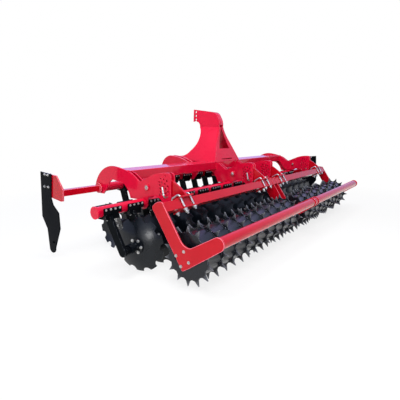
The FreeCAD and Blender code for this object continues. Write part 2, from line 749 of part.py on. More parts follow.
panel = strip_between(panel_edge(S.beam_top), panel_edge(S.panel_top), S.panel_thick)
slot_y = rear_edge(S.beam_top)
slot_foot = S.beam_top + S.panel_slot_z
slot = box_between(
    (-S.panel_slot / 2, slot_y - 2 * S.panel_thick, slot_foot),
    (S.panel_slot / 2, slot_y + 4 * S.panel_thick, slot_foot + S.panel_slot_tall),
)
keep("tower_panel", shaped("tower_panel", panel.cut(slot).translated(V(0, 0, S.pivot_height))))


def hitch_plate(name, x):
    """One plate of a lower link bracket, which butts on the main beam above the front tube."""
    beam_front = S.beam_rear_y + S.beam_depth
    pin_y = S.hitch_y
    path = [
        (beam_front, S.beam_top - S.beam_tall),
        (beam_front, S.beam_top),
        ((700, 196), (800, 205)),
        ((885, 172), (pin_y + S.hitch_end * 0.8, S.hitch_z + S.hitch_end * 0.6)),
        ((pin_y + S.hitch_end, S.hitch_z), (pin_y + S.hitch_end * 0.6, S.hitch_z - S.hitch_end * 0.8)),
        (pin_y - 90, S.hitch_z - S.hitch_end),
        (beam_front + 110, S.hitch_z - S.hitch_end),
    ]
    holes = [(pin_y, S.hitch_z, "sizes.hitch_hole")]
    return place(plate(name, path, "sizes.hitch_plate", holes), x=x, z="sizes.pivot_height")


hitch = []
for side, word in ((-1, "left"), (1, "right")):
    middle = f"{side} * sizes.hitch_spread / 2"
    hitch.append(hitch_plate(f"hitch_{word}_a", f"{middle} - sizes.hitch_slot / 2 - sizes.hitch_plate"))
    hitch.append(hitch_plate(f"hitch_{word}_b", f"{middle} + sizes.hitch_slot / 2"))
keep("hitch_brackets", group("hitch_brackets", hitch))

hitch_half = S.hitch_spread / 2 - S.hitch_slot / 2 - S.hitch_plate
hitch_rear = S.toe_y - S.hitch_beam_deep
hitch_beam = box_between(
    (-hitch_half, hitch_rear, S.hitch_beam_low),
    (hitch_half, S.toe_y, S.beam_top),
)
hitch_room = box_between(
    (-hitch_half - S.cut_past, hitch_rear + S.hitch_beam_wall, S.hitch_beam_low + S.hitch_beam_wall),
    (hitch_half + S.cut_past, S.toe_y - S.hitch_beam_wall, S.beam_top - S.hitch_beam_wall),
)
keep("hitch_beam", shaped("hitch_beam", hitch_beam.cut(hitch_room).translated(V(0, 0, S.pivot_height))))

# ---------------------------------------------------------------- side deflectors
def deflector(word, side, arm_y, arm_z, blade_x):
    """Arm in line with a tool tube, with bracket and blade; side is 1 on the right.

    The right one is the left one turned end for end, on a longer arm.
    """
    half = S.deflector_arm / 2
    tip = S.blade_tip - S.pivot_height - arm_z
    top = tip + S.blade_tall
    start = S.end_plate_x + S.tube_past
    bracket_x = blade_x - 2 * S.blade_thick
    front = S.half_length - S.front_tube_y
    arm = box_between((start, -half, -half), (bracket_x, half, half))
    room = half - S.deflector_wall
    hollow = box_between((start + S.cap_thick, -room, -room), (bracket_x, room, room))
    flange = Part.makeCylinder(S.cap_radius, S.cap_thick, V(start, 0, 0), V(1, 0, 0))
    bracket_points = [(190, 100), (190, 172), (15, 163), (-82, 38), (-69, -66), (-35, -73), (190, -44)]
    bracket = extruded(bracket_points, bracket_x, S.blade_thick)
    hanger = arm.cut(hollow).fuse([flange, bracket]).removeSplitter()
    blade = extruded([
        (82, top - 16),
        (front - 31, top),
        (front, tip + 345),
        (front - 78, tip + 231),
        (front - 95, tip + 30),
        ((front - 142, tip), (front - 194, tip + 55)),
        (-1, tip + 261),
        (4, tip + 412),
        (88, tip + 477),
        (113, tip + 541),
    ], bracket_x + S.blade_thick, S.blade_thick)
    spot = V(0, arm_y, S.pivot_height + arm_z)
    for label, shape in ((f"deflector_arm_{word}", hanger), (f"deflector_blade_{word}", blade)):
        flip = V(1, 0, 0) if side < 0 else V(0, 1, 0)
        keep(label, shaped(label, shape.mirror(V(), flip).translated(spot)))


deflector("left", -1, S.front_tube_y, -S.front_tube_drop, S.deflector_x)
deflector("right", 1, S.rear_tube_y, -S.rear_tube_drop, S.half_width)

# ---------------------------------------------------------------- roller frame
tilt = math.radians(S.roller_beam_lean)
DOWN = V(0, -math.sin(tilt), -math.cos(tilt))
BACK = V(0, -math.cos(tilt), math.sin(tilt))
BEAM_AT = V(0, S.roller_beam_y, -S.roller_beam_drop)
bar_y = -(S.half_length - S.bar_radius - S.bar_rim)
bar_at = (bar_y, -S.bar_drop)
roller_z = S.tip_radius - S.pivot_height


def side_outline():
    """L-shaped plate: front arm up to the beam, corner at the roller, rear arm to the bar."""
    rim = S.bar_radius + S.bar_rim
    rear = math.radians(S.bearing_turn)
    bar_top = (bar_y + rim * math.sin(rear), -S.bar_drop + rim * math.cos(rear))
    bar_low = (bar_y - rim * math.sin(rear), -S.bar_drop - rim * math.cos(rear))
    y, z = S.roller_y, roller_z
    return [
        (-305, -112),
        (-305, -92),
        ((-345, -58), (-395, -44)),
        ((-412, -50), (-423, -68)),
        (y + 17, z + 138),
        ((y - 26, z + 103), (y - 82, z + 100)),
        bar_top,
        ((bar_y - rim * math.cos(rear), -S.bar_drop + rim * math.sin(rear)), bar_low),
        (y - 60, z - 64),
        (y - 5, z - 98),
        ((y + 8, z - 96), (y + 14, z - 84)),
    ]


ROLLER_END = "(sizes.end_plate_x + sizes.roller_over)"


def roller_plate(name, x, holes=()):
    """One L-shaped plate of the roller frame."""
    return place(plate(name, side_outline(), "sizes.side_plate", holes), x=x, z="sizes.pivot_height")


keep("roller_side_left", roller_plate("roller_side_left", f"-{ROLLER_END}"))
keep("roller_side_right", roller_plate("roller_side_right", f"{ROLLER_END} - sizes.side_plate"))
bar_hole = [(bar_y, -S.bar_drop, "sizes.bar_radius + sizes.seat_gap")]
centre_pair = group("centre_pair", [
    roller_plate("roller_centre_a", "-sizes.centre_x", bar_hole),
    roller_plate("roller_centre_b", "sizes.centre_x - sizes.side_plate", bar_hole),
])


def slanted_box(x_low, x_high, back_low, back_high, down_low, down_high):
    """A box square to the roller frame's front beam, measured from its middle."""
    corner = V(x_low, 0, S.pivot_height) + BEAM_AT + BACK * back_low + DOWN * down_low
    long = BACK * (back_high - back_low)
    tall = DOWN * (down_high - down_low)
    wire = Part.makePolygon([corner, corner + long, corner + long + tall, corner + tall, corner])
    return Part.Face(wire).extrude(V(x_high - x_low, 0, 0))


inner_x = S.end_plate_x + S.roller_over - S.side_plate
half_beam = S.roller_beam / 2
beam_inner = half_beam - S.roller_beam_wall
roller_beam = slanted_box(-inner_x, inner_x, -half_beam, half_beam, -half_beam, half_beam).cut(
    slanted_box(-inner_x - S.cut_past, inner_x + S.cut_past, -beam_inner, beam_inner, -beam_inner, beam_inner)
)
keep("roller_beam", shaped("roller_beam", roller_beam))
beam_hole = slanted_box(-2 * S.centre_x, 2 * S.centre_x, -half_beam, half_beam, -half_beam, half_beam)
beam_cut = shaped("roller_beam_room", beam_hole)
centre_cut = doc.addObject("Part::Cut", "roller_centre_plates")
centre_cut.Base = centre_pair
centre_cut.Tool = beam_cut
keep("roller_centre_plates", centre_cut)

keep("roller_rear_bar", tube_x(
    "roller_rear_bar", "sizes.bar_radius", "sizes.bar_radius - sizes.bar_wall",
    f"-{ROLLER_END} + sizes.side_plate", f"2 * ({ROLLER_END} - sizes.side_plate)",
    f"{bar_y}", "sizes.pivot_height - sizes.bar_drop",
))

# arms from the pivot bolts to the front beam, with foot plates and backing plates
stations = []
for side in (-1, 1):
    for edge in (S.end_plate_x, S.centre_plate_x):
        near = side * (edge - S.plate - S.run_gap)
        far = side * (edge - S.plate - S.run_gap - S.arm_plate)
        stations.append((min(near, far), max(near, far)))

foot_top = half_beam + S.foot_plate
u_back = half_beam + S.u_rod + S.u_gap


def arm_outline():
    """Arm seen from the side, from its pivot boss to its foot on the beam."""
    heel = BEAM_AT - DOWN * foot_top + BACK * S.foot_half
    toe = BEAM_AT - DOWN * foot_top - BACK * S.foot_half
    return [
        (-150, 92),
        (-262, 88),
        ((heel.y + 92, heel.z + 70), (heel.y, heel.z)),
        (toe.y, toe.z),
        (-262, -51),
        (-20, 4 - S.arm_boss),
        ((S.arm_boss, 0), (0, S.arm_boss)),
    ]


def roller_arm(x_low, x_high):
    """One arm welded to its foot plate, and the backing plate below the beam."""
    middle = (x_low + x_high) / 2
    web = extruded(arm_outline(), x_low, x_high - x_low).translated(V(0, 0, S.pivot_height))
    eye = Part.makeCylinder(
        S.pivot_radius + S.pin_gap, x_high - x_low + 2 * S.cut_past,
        V(x_low - S.cut_past, 0, S.pivot_height), V(1, 0, 0),
    )
    half = S.foot_wide / 2
    reach = half_beam + S.foot_past
    foot = slanted_box(middle - half, middle + half, -reach, reach, -foot_top, -half_beam)
    back = slanted_box(middle - half, middle + half, -reach, reach, half_beam, foot_top)
    solids = [web.cut(eye).fuse(foot).removeSplitter(), back]
    for side in (-1, 1):
        for leg in (-1, 1):
            spot = V(middle + side * S.u_spacing / 2, 0, S.pivot_height) + BEAM_AT + BACK * (leg * u_back)
            drill = Part.makeCylinder(S.u_rod + S.seat_gap, 4 * half_beam, spot - DOWN * 2 * half_beam, DOWN)
            solids = [solid.cut(drill) for solid in solids]
    return solids


def u_bolts(x_low, x_high):
    """Two U bolts over the foot plate, with their nuts under the backing plate."""
    solids = []
    middle = (x_low + x_high) / 2
    for side in (-1, 1):
        spot = V(middle + side * S.u_spacing / 2, 0, S.pivot_height) + BEAM_AT
        top = -foot_top - 3 * S.u_rod - S.u_gap
        low = foot_top + S.u_thread
        rod = rod_along([
            spot + BACK * u_back + DOWN * low,
            spot + BACK * u_back + DOWN * top,
            spot - BACK * u_back + DOWN * top,
            spot - BACK * u_back + DOWN * low,
        ], S.u_rod)
        nuts = [
            Part.makeCylinder(S.u_rod + S.u_nut_rim, S.u_nut_tall,
                              spot + BACK * (leg * u_back) + DOWN * foot_top, DOWN)
            for leg in (-1, 1)
        ]
        solids.append(rod.fuse(nuts))
    return solids


arms = []
bolts = []
for low, high in stations:
    arms += roller_arm(low, high)
    bolts += u_bolts(low, high)
keep("roller_arms", shaped("roller_arms", Part.makeCompound(arms)))
keep("roller_u_bolts", shaped("roller_u_bolts", Part.makeCompound(bolts)))

# pivot bolts and depth pins of the frame plates
pins = []
pin_y, pin_z = depth_hole_at(S.depth_columns - 1, 0)
pin_at = V(0, pin_y, pin_z + S.pivot_height)
for side in (-1, 1):
    for edge in (S.end_plate_x, S.centre_plate_x):
        outside = side * edge
        through = 2 * S.plate + S.twin_gap
        way = V(-side, 0, 0)
        start = V(outside, 0, S.pivot_height)
        bolt = Part.makeCylinder(S.pivot_radius, through + 2 * S.bolt_end, start - way * S.bolt_end, way)
        head_radius = S.pivot_radius + S.bolt_rim
        head = Part.makeCylinder(head_radius, S.bolt_head, start - way * S.bolt_end, way)
        nut = Part.makeCylinder(head_radius, S.bolt_head, start + way * (through + S.bolt_washer), way)
        pins.append(bolt.fuse([head, nut]))
        hole = pin_at + V(outside, 0, 0)
        tip = hole + way * (through + S.pin_past)
        elbow = hole - way * S.pin_out
        grip = elbow + V(0, S.pin_lean, S.pin_handle)
        pins.append(rod_along([tip, elbow, grip], S.depth_hole - S.pin_play))
keep("frame_pins", shaped("frame_pins", Part.makeCompound(pins)))

# ---------------------------------------------------------------- roller and its bearings
roller_at = V(0, S.roller_y, S.tip_radius)


def bearing(face_x, way):
    """Flange bearing on a face; way is 1 where it points to the right."""
    side = S.bearing_side / 2
    start = min(face_x, face_x + way * S.bearing_flange)
    flange = box_between((start, -side, -side), (start + S.bearing_flange, side, side))
    turned = flange.rotated(V(), V(1, 0, 0), S.bearing_turn)
    axis = V(way, 0, 0)
    boss = Part.makeCylinder(S.journal_radius + S.bearing_rim, S.bearing_long, V(face_x, 0, 0), axis)
    bore = Part.makeCylinder(
        S.journal_radius + S.pin_gap, S.bearing_long + 2 * S.cut_past,
        V(face_x - way * S.cut_past, 0, 0), axis,
    )
    return turned.fuse(boss).cut(bore).translated(roller_at)


bearings = [
    bearing(-inner_x, 1),
    bearing(-S.centre_x, -1),
    bearing(S.centre_x, 1),
    bearing(inner_x, -1),
]
keep("roller_bearings", shaped("roller_bearings", Part.makeCompound(bearings)))


def toothed_ring(turn):
    """Outline of a ring with tall teeth on concave flanks, turned by a share of their pitch."""
    points = []
    flanks = ((-0.5, S.ring_radius), (-0.2, S.tooth_foot), (0, S.tip_radius), (0.2, S.tooth_foot))
    pitch = 2 * math.pi / S.teeth
    for tooth in range(int(S.teeth)):
        centre = -math.pi / 2 + pitch * (tooth + turn)
        for offset, radius in flanks:
            angle = centre + offset * pitch
            points.append((radius * math.cos(angle), radius * math.sin(angle)))
    return points


def roller_half(inner_face, outer_face):
    """Closed drum with toothed rings and two journals, between two bearing faces."""
    low = inner_face + S.bearing_long + S.run_gap
    high = outer_face - S.bearing_long - S.run_gap
    way = V(1, 0, 0)
    drum = Part.makeCylinder(S.drum_radius, high - low, V(low, 0, 0), way)
    wall = S.drum_wall
    drum = drum.cut(Part.makeCylinder(S.drum_radius - wall, high - low - 2 * wall, V(low + wall, 0, 0), way))
    journal_long = S.bearing_long + S.run_gap + wall / 2 - S.journal_gap
    journals = [
        Part.makeCylinder(S.journal_radius, journal_long, V(start, 0, 0), way)
        for start in (inner_face + S.journal_gap, high - wall / 2)
    ]
    pitch = (high - low - S.ring_thick) / (S.ring_count - 1)
    root = S.drum_radius - wall / 2
    rings = []
    for index in range(int(S.ring_count)):
        start = low + index * pitch
        toothed = extruded(toothed_ring(index % 2 / 2), start, S.ring_thick)
        inner = Part.makeCylinder(root, S.ring_thick, V(start, 0, 0), way)
        rings.append(toothed.cut(inner))
    return drum.fuse(journals + rings).translated(roller_at)


keep("roller_right", shaped("roller_right", roller_half(S.centre_x, inner_x)))
keep("roller_left", shaped("roller_left", roller_half(-inner_x, -S.centre_x)))

# ---------------------------------------------------------------- checks and files
doc.recompute()
for thing in doc.Objects:
    if "Invalid" in thing.State or "Error" in thing.State:
        raise RuntimeError(f"{thing.Label} failed")
for label, thing in nodes.items():
    if thing.Shape.isNull() or not thing.Shape.isValid():
        raise RuntimeError(f"{label} has no valid shape")
os.makedirs("parts", exist_ok=True)
for label, thing in nodes.items():
    thing.Shape.exportStep(f"parts/{label}.step")
print(len(nodes), "sub-parts")
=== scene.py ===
# %% [markdown]
# A mounted disc harrow, four metres wide: two rows of dished discs on single arms, a
# headstock for the tractor, side deflectors and a toothed roller behind. The engineering
# model is loaded first and stays fixed, because it carries every main shape, and each of
# its nodes already rides on the body that moves it. This lesson adds what the eye looks
# for next: sprayed paint, soft plate edges, bolts, rubber, weld beads, light and a camera.

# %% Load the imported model
import json
import math
import bmesh
import bpy
from mathutils import Matrix, Vector

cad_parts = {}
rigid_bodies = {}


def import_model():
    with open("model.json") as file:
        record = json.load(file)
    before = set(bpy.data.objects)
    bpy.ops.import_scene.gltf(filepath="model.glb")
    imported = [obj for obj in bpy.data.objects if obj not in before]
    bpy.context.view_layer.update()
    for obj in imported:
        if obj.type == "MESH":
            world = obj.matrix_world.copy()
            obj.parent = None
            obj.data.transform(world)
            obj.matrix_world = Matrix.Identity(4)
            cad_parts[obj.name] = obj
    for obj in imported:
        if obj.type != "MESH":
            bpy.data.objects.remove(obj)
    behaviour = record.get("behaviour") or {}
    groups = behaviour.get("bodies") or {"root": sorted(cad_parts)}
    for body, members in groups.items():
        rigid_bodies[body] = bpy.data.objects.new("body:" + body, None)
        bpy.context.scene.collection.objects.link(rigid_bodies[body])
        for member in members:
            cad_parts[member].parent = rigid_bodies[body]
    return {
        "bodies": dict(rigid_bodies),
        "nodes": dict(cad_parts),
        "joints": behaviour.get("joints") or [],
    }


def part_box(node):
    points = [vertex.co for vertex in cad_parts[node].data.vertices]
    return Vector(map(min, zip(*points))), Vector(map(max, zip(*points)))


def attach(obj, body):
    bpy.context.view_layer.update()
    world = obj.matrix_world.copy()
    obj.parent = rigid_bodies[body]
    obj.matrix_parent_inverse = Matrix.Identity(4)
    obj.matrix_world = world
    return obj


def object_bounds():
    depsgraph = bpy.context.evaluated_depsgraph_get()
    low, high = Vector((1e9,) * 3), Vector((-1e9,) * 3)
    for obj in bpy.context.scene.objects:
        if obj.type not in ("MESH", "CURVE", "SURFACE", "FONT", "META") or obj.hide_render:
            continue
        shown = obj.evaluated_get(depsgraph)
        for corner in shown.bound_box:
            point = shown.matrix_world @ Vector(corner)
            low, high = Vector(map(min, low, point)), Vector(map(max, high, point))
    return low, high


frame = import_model()
lowest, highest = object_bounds()
nodes = frame["nodes"]
joints = {joint["name"]: joint for joint in frame["joints"]}

# %% [markdown]
# The camera stands low behind the machine's left end, close enough for a strong
# perspective: the near roller plate looks twice the height of the far one. It is made
# early, because every later choice is judged through it.

# %% Camera
CAMERA_PLACE = Vector((-3.867, -2.154, 1.160))
CAMERA_HEADING = math.radians(36.49)
CAMERA_DIP = math.radians(10.74)
CAMERA_ROLL = math.radians(0.36)
CAMERA_LENS = 30.35
CAMERA_REACH = 90

bpy.ops.object.select_all(action="DESELECT")
bpy.ops.object.camera_add(location=CAMERA_PLACE)
camera = bpy.context.active_object
camera.name = "camera"
look = Vector((
    math.cos(CAMERA_HEADING) * math.cos(CAMERA_DIP),
    math.sin(CAMERA_HEADING) * math.cos(CAMERA_DIP),
    -math.sin(CAMERA_DIP),
))
camera.rotation_mode = "QUATERNION"
roll = Matrix.Rotation(CAMERA_ROLL, 4, "Z").to_quaternion()
camera.rotation_quaternion = look.to_track_quat("-Z", "Y") @ roll
camera.data.lens = CAMERA_LENS
camera.data.clip_end = CAMERA_REACH
bpy.context.scene.camera = camera
print("camera looks along", [round(v, 3) for v in look])

# %% [markdown]
# Paint on farm machinery is sprayed and baked. It has a fine orange peel, a little dust
# that lies in patches, and small scuffs. These could be painted on images, but noise needs
# no image and holds at any distance. One shader group makes all three, so that every
# finish shares them and sets its own amounts. It gives out only what changes over the
# surface: a dust mask, a scuff mask, a slow mottle and a height for a Bump node.

# %% Surface group
# each noise of the group: its scale, its detail and its roughness
NOISES = {
    "Peel Scale": (260.0, 2.0, 0.50),
    "Dust Scale": (3.0, 6.0, 0.62),
    "Scuff Scale": (24.0, 9.0, 0.72),
}
# the part of a noise, from low to high, that a mask spreads over 0 to 1
DUST_WINDOW = (0.48, 0.78)
SCUFF_WINDOW = (0.66, 0.74)
MOTTLE_WINDOW = (0.30, 0.70)


def noise_node(tree, place, scale, detail, rough):
    """Noise on the object's own coordinates, with its scale from an input of the group."""
    noise = tree.nodes.new("ShaderNodeTexNoise")
    noise.inputs["Detail"].default_value = detail
    noise.inputs["Roughness"].default_value = rough
    tree.links.new(place.outputs["Object"], noise.inputs["Vector"])
    tree.links.new(scale, noise.inputs["Scale"])
    return noise.outputs["Fac"]


def window_node(tree, value, low, high):
    """Spreads the part of a value between low and high over 0 to 1."""
    window = tree.nodes.new("ShaderNodeMapRange")
    window.inputs["From Min"].default_value = low
    window.inputs["From Max"].default_value = high
    tree.links.new(value, window.inputs["Value"])
    return window.outputs["Result"]


def make_surface_group():
    """Dust in patches, scuffs in small streaks, a slow mottle and the height of the peel."""
    tree = bpy.data.node_groups.new("sprayed_surface", "ShaderNodeTree")
    for name, (scale, detail, rough) in NOISES.items():
        socket = tree.interface.new_socket(name, in_out="INPUT", socket_type="NodeSocketFloat")
        socket.default_value = scale
    for name in ("Dust", "Scuff", "Mottle", "Height"):
        tree.interface.new_socket(name, in_out="OUTPUT", socket_type="NodeSocketFloat")
    entry = tree.nodes.new("NodeGroupInput")
    leave = tree.nodes.new("NodeGroupOutput")
    place = tree.nodes.new("ShaderNodeTexCoord")
    peel, dust, scuff = (
        noise_node(tree, place, entry.outputs[name], detail, rough)
        for name, (scale, detail, rough) in NOISES.items()
    )
    tree.links.new(window_node(tree, dust, *DUST_WINDOW), leave.inputs["Dust"])
    tree.links.new(window_node(tree, scuff, *SCUFF_WINDOW), leave.inputs["Scuff"])
    tree.links.new(window_node(tree, dust, *MOTTLE_WINDOW), leave.inputs["Mottle"])
    tree.links.new(peel, leave.inputs["Height"])
    return tree


surface_group = make_surface_group()
outputs = [item.name for item in surface_group.interface.items_tree if item.in_out == "OUTPUT"]
print("surface group gives", outputs)

# %% [markdown]
# A finish is one function: a Principled shader whose fixed numbers sit on its own
# sockets, and whose colour, roughness and normal come from the shared group. A clear coat
# gives sprayed paint its second, sharper reflection of the sky, which is what turns the
# top faces of the red beams pink when they are seen at a flat angle.

# %% Finish function
# the Mix node's colour sockets go by number, because its names are used more than once
MIX_AMOUNT = 0
MIX_BELOW = 6
MIX_ABOVE = 7
MIX_RESULT = 2
DUST_ROUGHER = 0.3
PEEL_STRENGTH = 0.6
PLAIN_SCALES = tuple(scale for scale, detail, rough in NOISES.values())


def tint(tree, below, mask, colour, strength):
    """Lays a colour over the one below it where a mask says so."""
    amount = tree.nodes.new("ShaderNodeMath")
    amount.operation = "MULTIPLY"
    amount.inputs[1].default_value = strength
    tree.links.new(mask, amount.inputs[0])
    mix = tree.nodes.new("ShaderNodeMix")
    mix.data_type = "RGBA"
    mix.inputs[MIX_ABOVE].default_value = (*colour, 1.0)
    tree.links.new(below, mix.inputs[MIX_BELOW])
    tree.links.new(amount.outputs["Value"], mix.inputs[MIX_AMOUNT])
    return mix.outputs[MIX_RESULT]


def make_finish(name, light, dark, rough, dust, scuff, peel, scales=PLAIN_SCALES, **fixed):
    """A finish of one name.

    light and dark are the mottle's colours, dust and scuff are a colour and a strength,
    peel is the height of the peel in metres, and fixed are sockets that stay plain numbers.
    """
    material = bpy.data.materials.new(name)
    material.use_nodes = True
    tree = material.node_tree
    shader = tree.nodes["Principled BSDF"]
    for socket, value in fixed.items():
        shader.inputs[socket.replace("_", " ")].default_value = value
    surface = tree.nodes.new("ShaderNodeGroup")
    surface.node_tree = surface_group
    for socket, scale in zip(NOISES, scales):
        surface.inputs[socket].default_value = scale
    ground = tree.nodes.new("ShaderNodeMix")
    ground.data_type = "RGBA"
    ground.inputs[MIX_BELOW].default_value = (*dark, 1.0)
    ground.inputs[MIX_ABOVE].default_value = (*light, 1.0)
    tree.links.new(surface.outputs["Mottle"], ground.inputs[MIX_AMOUNT])
    colour = tint(tree, ground.outputs[MIX_RESULT], surface.outputs["Dust"], *dust)
    colour = tint(tree, colour, surface.outputs["Scuff"], *scuff)
    tree.links.new(colour, shader.inputs["Base Color"])
    roughness = tree.nodes.new("ShaderNodeMapRange")
    roughness.inputs["To Min"].default_value = rough
    roughness.inputs["To Max"].default_value = min(1.0, rough + DUST_ROUGHER)
    tree.links.new(surface.outputs["Dust"], roughness.inputs["Value"])
    tree.links.new(roughness.outputs["Result"], shader.inputs["Roughness"])
    bump = tree.nodes.new("ShaderNodeBump")
    bump.inputs["Distance"].default_value = peel
    bump.inputs["Strength"].default_value = PEEL_STRENGTH
    tree.links.new(surface.outputs["Height"], bump.inputs["Height"])
    tree.links.new(bump.outputs["Normal"], shader.inputs["Normal"])
    return material


print("plain scales of peel, dust and scuffs", PLAIN_SCALES)

# %% [markdown]
# The machine is painted in two colours, red and black. The roller's frame and the arms of
# the deflectors take a darker copy of the red, which is painted shade, and the discs and the
# roller are glossier than the black arms. Edges get a lighter finish of their own, a painted
# highlight of the light they catch. Fasteners are zinc plated, and the rods are rubber.

# %% Finishes of this machine
DUST = (0.45, 0.38, 0.30)
PRIMER = (0.25, 0.24, 0.24)
FINISHES = {
    "red_paint": dict(
        light=(0.68, 0.003, 0.036), dark=(0.60, 0.002, 0.030), rough=0.26,
        dust=(DUST, 0.01), scuff=(PRIMER, 0.04), peel=0.0002,
        IOR=1.5, Specular_IOR_Level=0.05, Coat_Weight=1.0, Coat_IOR=1.30, Coat_Roughness=0.08,
    ),
    # a darker copy of the red: painted shade on the roller's frame and the deflector arms
    "deep_red": dict(
        light=(0.50, 0.002, 0.012), dark=(0.43, 0.001, 0.009), rough=0.28,
        dust=(DUST, 0.01), scuff=(PRIMER, 0.04), peel=0.0002,
        IOR=1.5, Specular_IOR_Level=0.03, Coat_Weight=1.0, Coat_IOR=1.30, Coat_Roughness=0.08,
    ),
    "black_paint": dict(
        light=(0.004, 0.005, 0.007), dark=(0.002, 0.003, 0.004), rough=0.34,
        dust=(DUST, 0.003), scuff=(PRIMER, 0.03), peel=0.0002,
        IOR=1.45, Specular_IOR_Level=0.03,
    ),
    "disc_paint": dict(
        light=(0.004, 0.006, 0.009), dark=(0.002, 0.003, 0.005), rough=0.18,
        dust=(DUST, 0.003), scuff=(PRIMER, 0.03), peel=0.0002,
        IOR=1.5, Specular_IOR_Level=0.28,
    ),
    "roller_paint": dict(
        light=(0.008, 0.010, 0.015), dark=(0.004, 0.005, 0.008), rough=0.24,
        dust=(DUST, 0.005), scuff=(PRIMER, 0.10), peel=0.0003,
        IOR=1.5, Specular_IOR_Level=0.36,
    ),
    # a lighter red on rounded edges: a painted highlight
    "red_edge": dict(
        light=(0.86, 0.20, 0.27), dark=(0.80, 0.10, 0.16), rough=0.25,
        dust=(DUST, 0.05), scuff=(PRIMER, 0.20), peel=0.0001,
        IOR=1.5, Specular_IOR_Level=0.4,
    ),
    # a light grey on rounded black edges: a painted highlight
    "black_edge": dict(
        light=(0.46, 0.49, 0.54), dark=(0.16, 0.17, 0.20), rough=0.35,
        dust=(DUST, 0.05), scuff=(PRIMER, 0.30), peel=0.0001,
        IOR=1.5, Metallic=0.4,
    ),
    "zinc": dict(
        light=(0.66, 0.65, 0.62), dark=(0.46, 0.46, 0.44), rough=0.30,
        dust=(DUST, 0.10), scuff=(PRIMER, 0.25), peel=0.0001,
        scales=(700.0, 30.0, 90.0), Metallic=1.0,
    ),
    "rubber": dict(
        light=(0.012, 0.012, 0.013), dark=(0.007, 0.007, 0.008), rough=0.70,
        dust=(DUST, 0.06), scuff=(DUST, 0.05), peel=0.0004,
        scales=(500.0, 8.0, 40.0), IOR=1.45, Specular_IOR_Level=0.3,
    ),
}
finishes = {name: make_finish(name, **look) for name, look in FINISHES.items()}
print("finishes", sorted(finishes))

# %% [markdown]
# The tips of the roller's teeth get a painted highlight: a light steel grey laid over the
# black. The finish knows a tip by its distance from the roller's axis, which stays true
# while the roller turns, because Object coordinates turn with it.

# %% Painted highlight on the tips
roller_axis = Vector(joints["roller_left_spin"]["pos_m"])
TOOTH_FOOT = 0.192
TOOTH_TIP = roller_axis.z
TIP_HIGHLIGHT_GREY = (0.30, 0.31, 0.34)
TIP_HIGHLIGHT_STRENGTH = 0.5


def paint_tip_highlight(material, axis, low, high, colour):
    """Lays a painted highlight of light steel grey over a finish between two distances from an axis
    along X.
    """
    tree = material.node_tree
    shader = tree.nodes["Principled BSDF"]
    place = tree.nodes.new("ShaderNodeTexCoord")
    centred = tree.nodes.new("ShaderNodeMapping")
    centred.inputs["Location"].default_value = (0, -axis.y, -axis.z)
    centred.inputs["Scale"].default_value = (0, 1, 1)
    away = tree.nodes.new("ShaderNodeVectorMath")
    away.operation = "LENGTH"
    tree.links.new(place.outputs["Object"], centred.inputs["Vector"])
    tree.links.new(centred.outputs["Vector"], away.inputs[0])
    mask = window_node(tree, away.outputs["Value"], low, high)
    below = shader.inputs["Base Color"].links[0].from_socket
    tree.links.new(tint(tree, below, mask, colour, TIP_HIGHLIGHT_STRENGTH), shader.inputs["Base Color"])


# the light grey on the teeth's tips is a painted highlight
paint_tip_highlight(finishes["roller_paint"], roller_axis, TOOTH_FOOT, TOOTH_TIP, TIP_HIGHLIGHT_GREY)
print("tips worn from", TOOTH_FOOT, "to", round(TOOTH_TIP, 3))

# %% [markdown]
# Each node of the engineering model gets one of these finishes by what it is: welded
# steelwork is red, working parts are black, fasteners are zinc plated.

# %% Finish of each node
BLACK_NODES = (
    "roller_bearings", "front_disc_arms", "rear_disc_arms",
    "deflector_blade_left", "deflector_blade_right",
)
ZINC_NODES = ("roller_u_bolts", "frame_pins")


def finish_of(node):
    """The finish that a node of the engineering model takes."""
    if node.startswith(("disc_front", "disc_rear")):
        return "disc_paint"
    if node in ("roller_left", "roller_right"):
        return "roller_paint"
    if node in BLACK_NODES:
        return "black_paint"
    if node in ZINC_NODES:
        return "zinc"
    # the roller's frame and the deflector arms take the red with painted shade
    return "deep_red" if node.startswith(("roller_", "deflector_")) else "red_paint"


for name, thing in nodes.items():
    thing.data.materials.clear()
    thing.data.materials.append(finishes[finish_of(name)])
print("red nodes", [name for name in nodes if finish_of(name) == "red_paint"])

# %% [markdown]
# Flame-cut plate has a broken edge a few millimetres wide that catches the light as a
# thin bright line. It could be modelled on a copy of each plate, but three live modifiers
# do it without touching the mesh: Weld joins its loose triangles, Decimate takes the flat
# faces' inner edges away, and Bevel rounds only the edges that turn sharply.

# %% Soft edges
# width of the broken edge in metres, and the nodes that have it
EDGE_SIZES = {
    0.005: ("main_beam", "roller_beam"),
    0.004: ("hitch_beam", "front_disc_arms", "rear_disc_arms"),
    0.003: (
        "end_plate_left", "end_plate_right", "centre_plates", "tower_plates", "hitch_brackets",
        "deflector_arm_left", "deflector_arm_right", "deflector_blade_left", "deflector_blade_right",
        "roller_side_left", "roller_side_right", "roller_centre_plates", "roller_arms",
    ),
    0.002: ("tower_panel", "tower_cap"),
    0.0015: ("roller_left", "roller_right"),
}
# beginnings of the names of nodes whose rounded edges get a lighter finish, as a painted highlight
HIGHLIT_EDGE_NODES = (
    "end_plate", "centre_plates", "tower_plates", "hitch_brackets", "deflector_arm",
    "roller_side", "roller_centre", "roller_arms", "roller_left", "roller_right",
    "front_disc", "rear_disc",
)
WELD_REACH = 0.00002
FLAT_ANGLE = math.radians(0.5)
SHARP_ANGLE = math.radians(35)
EDGE_SEGMENTS = 2


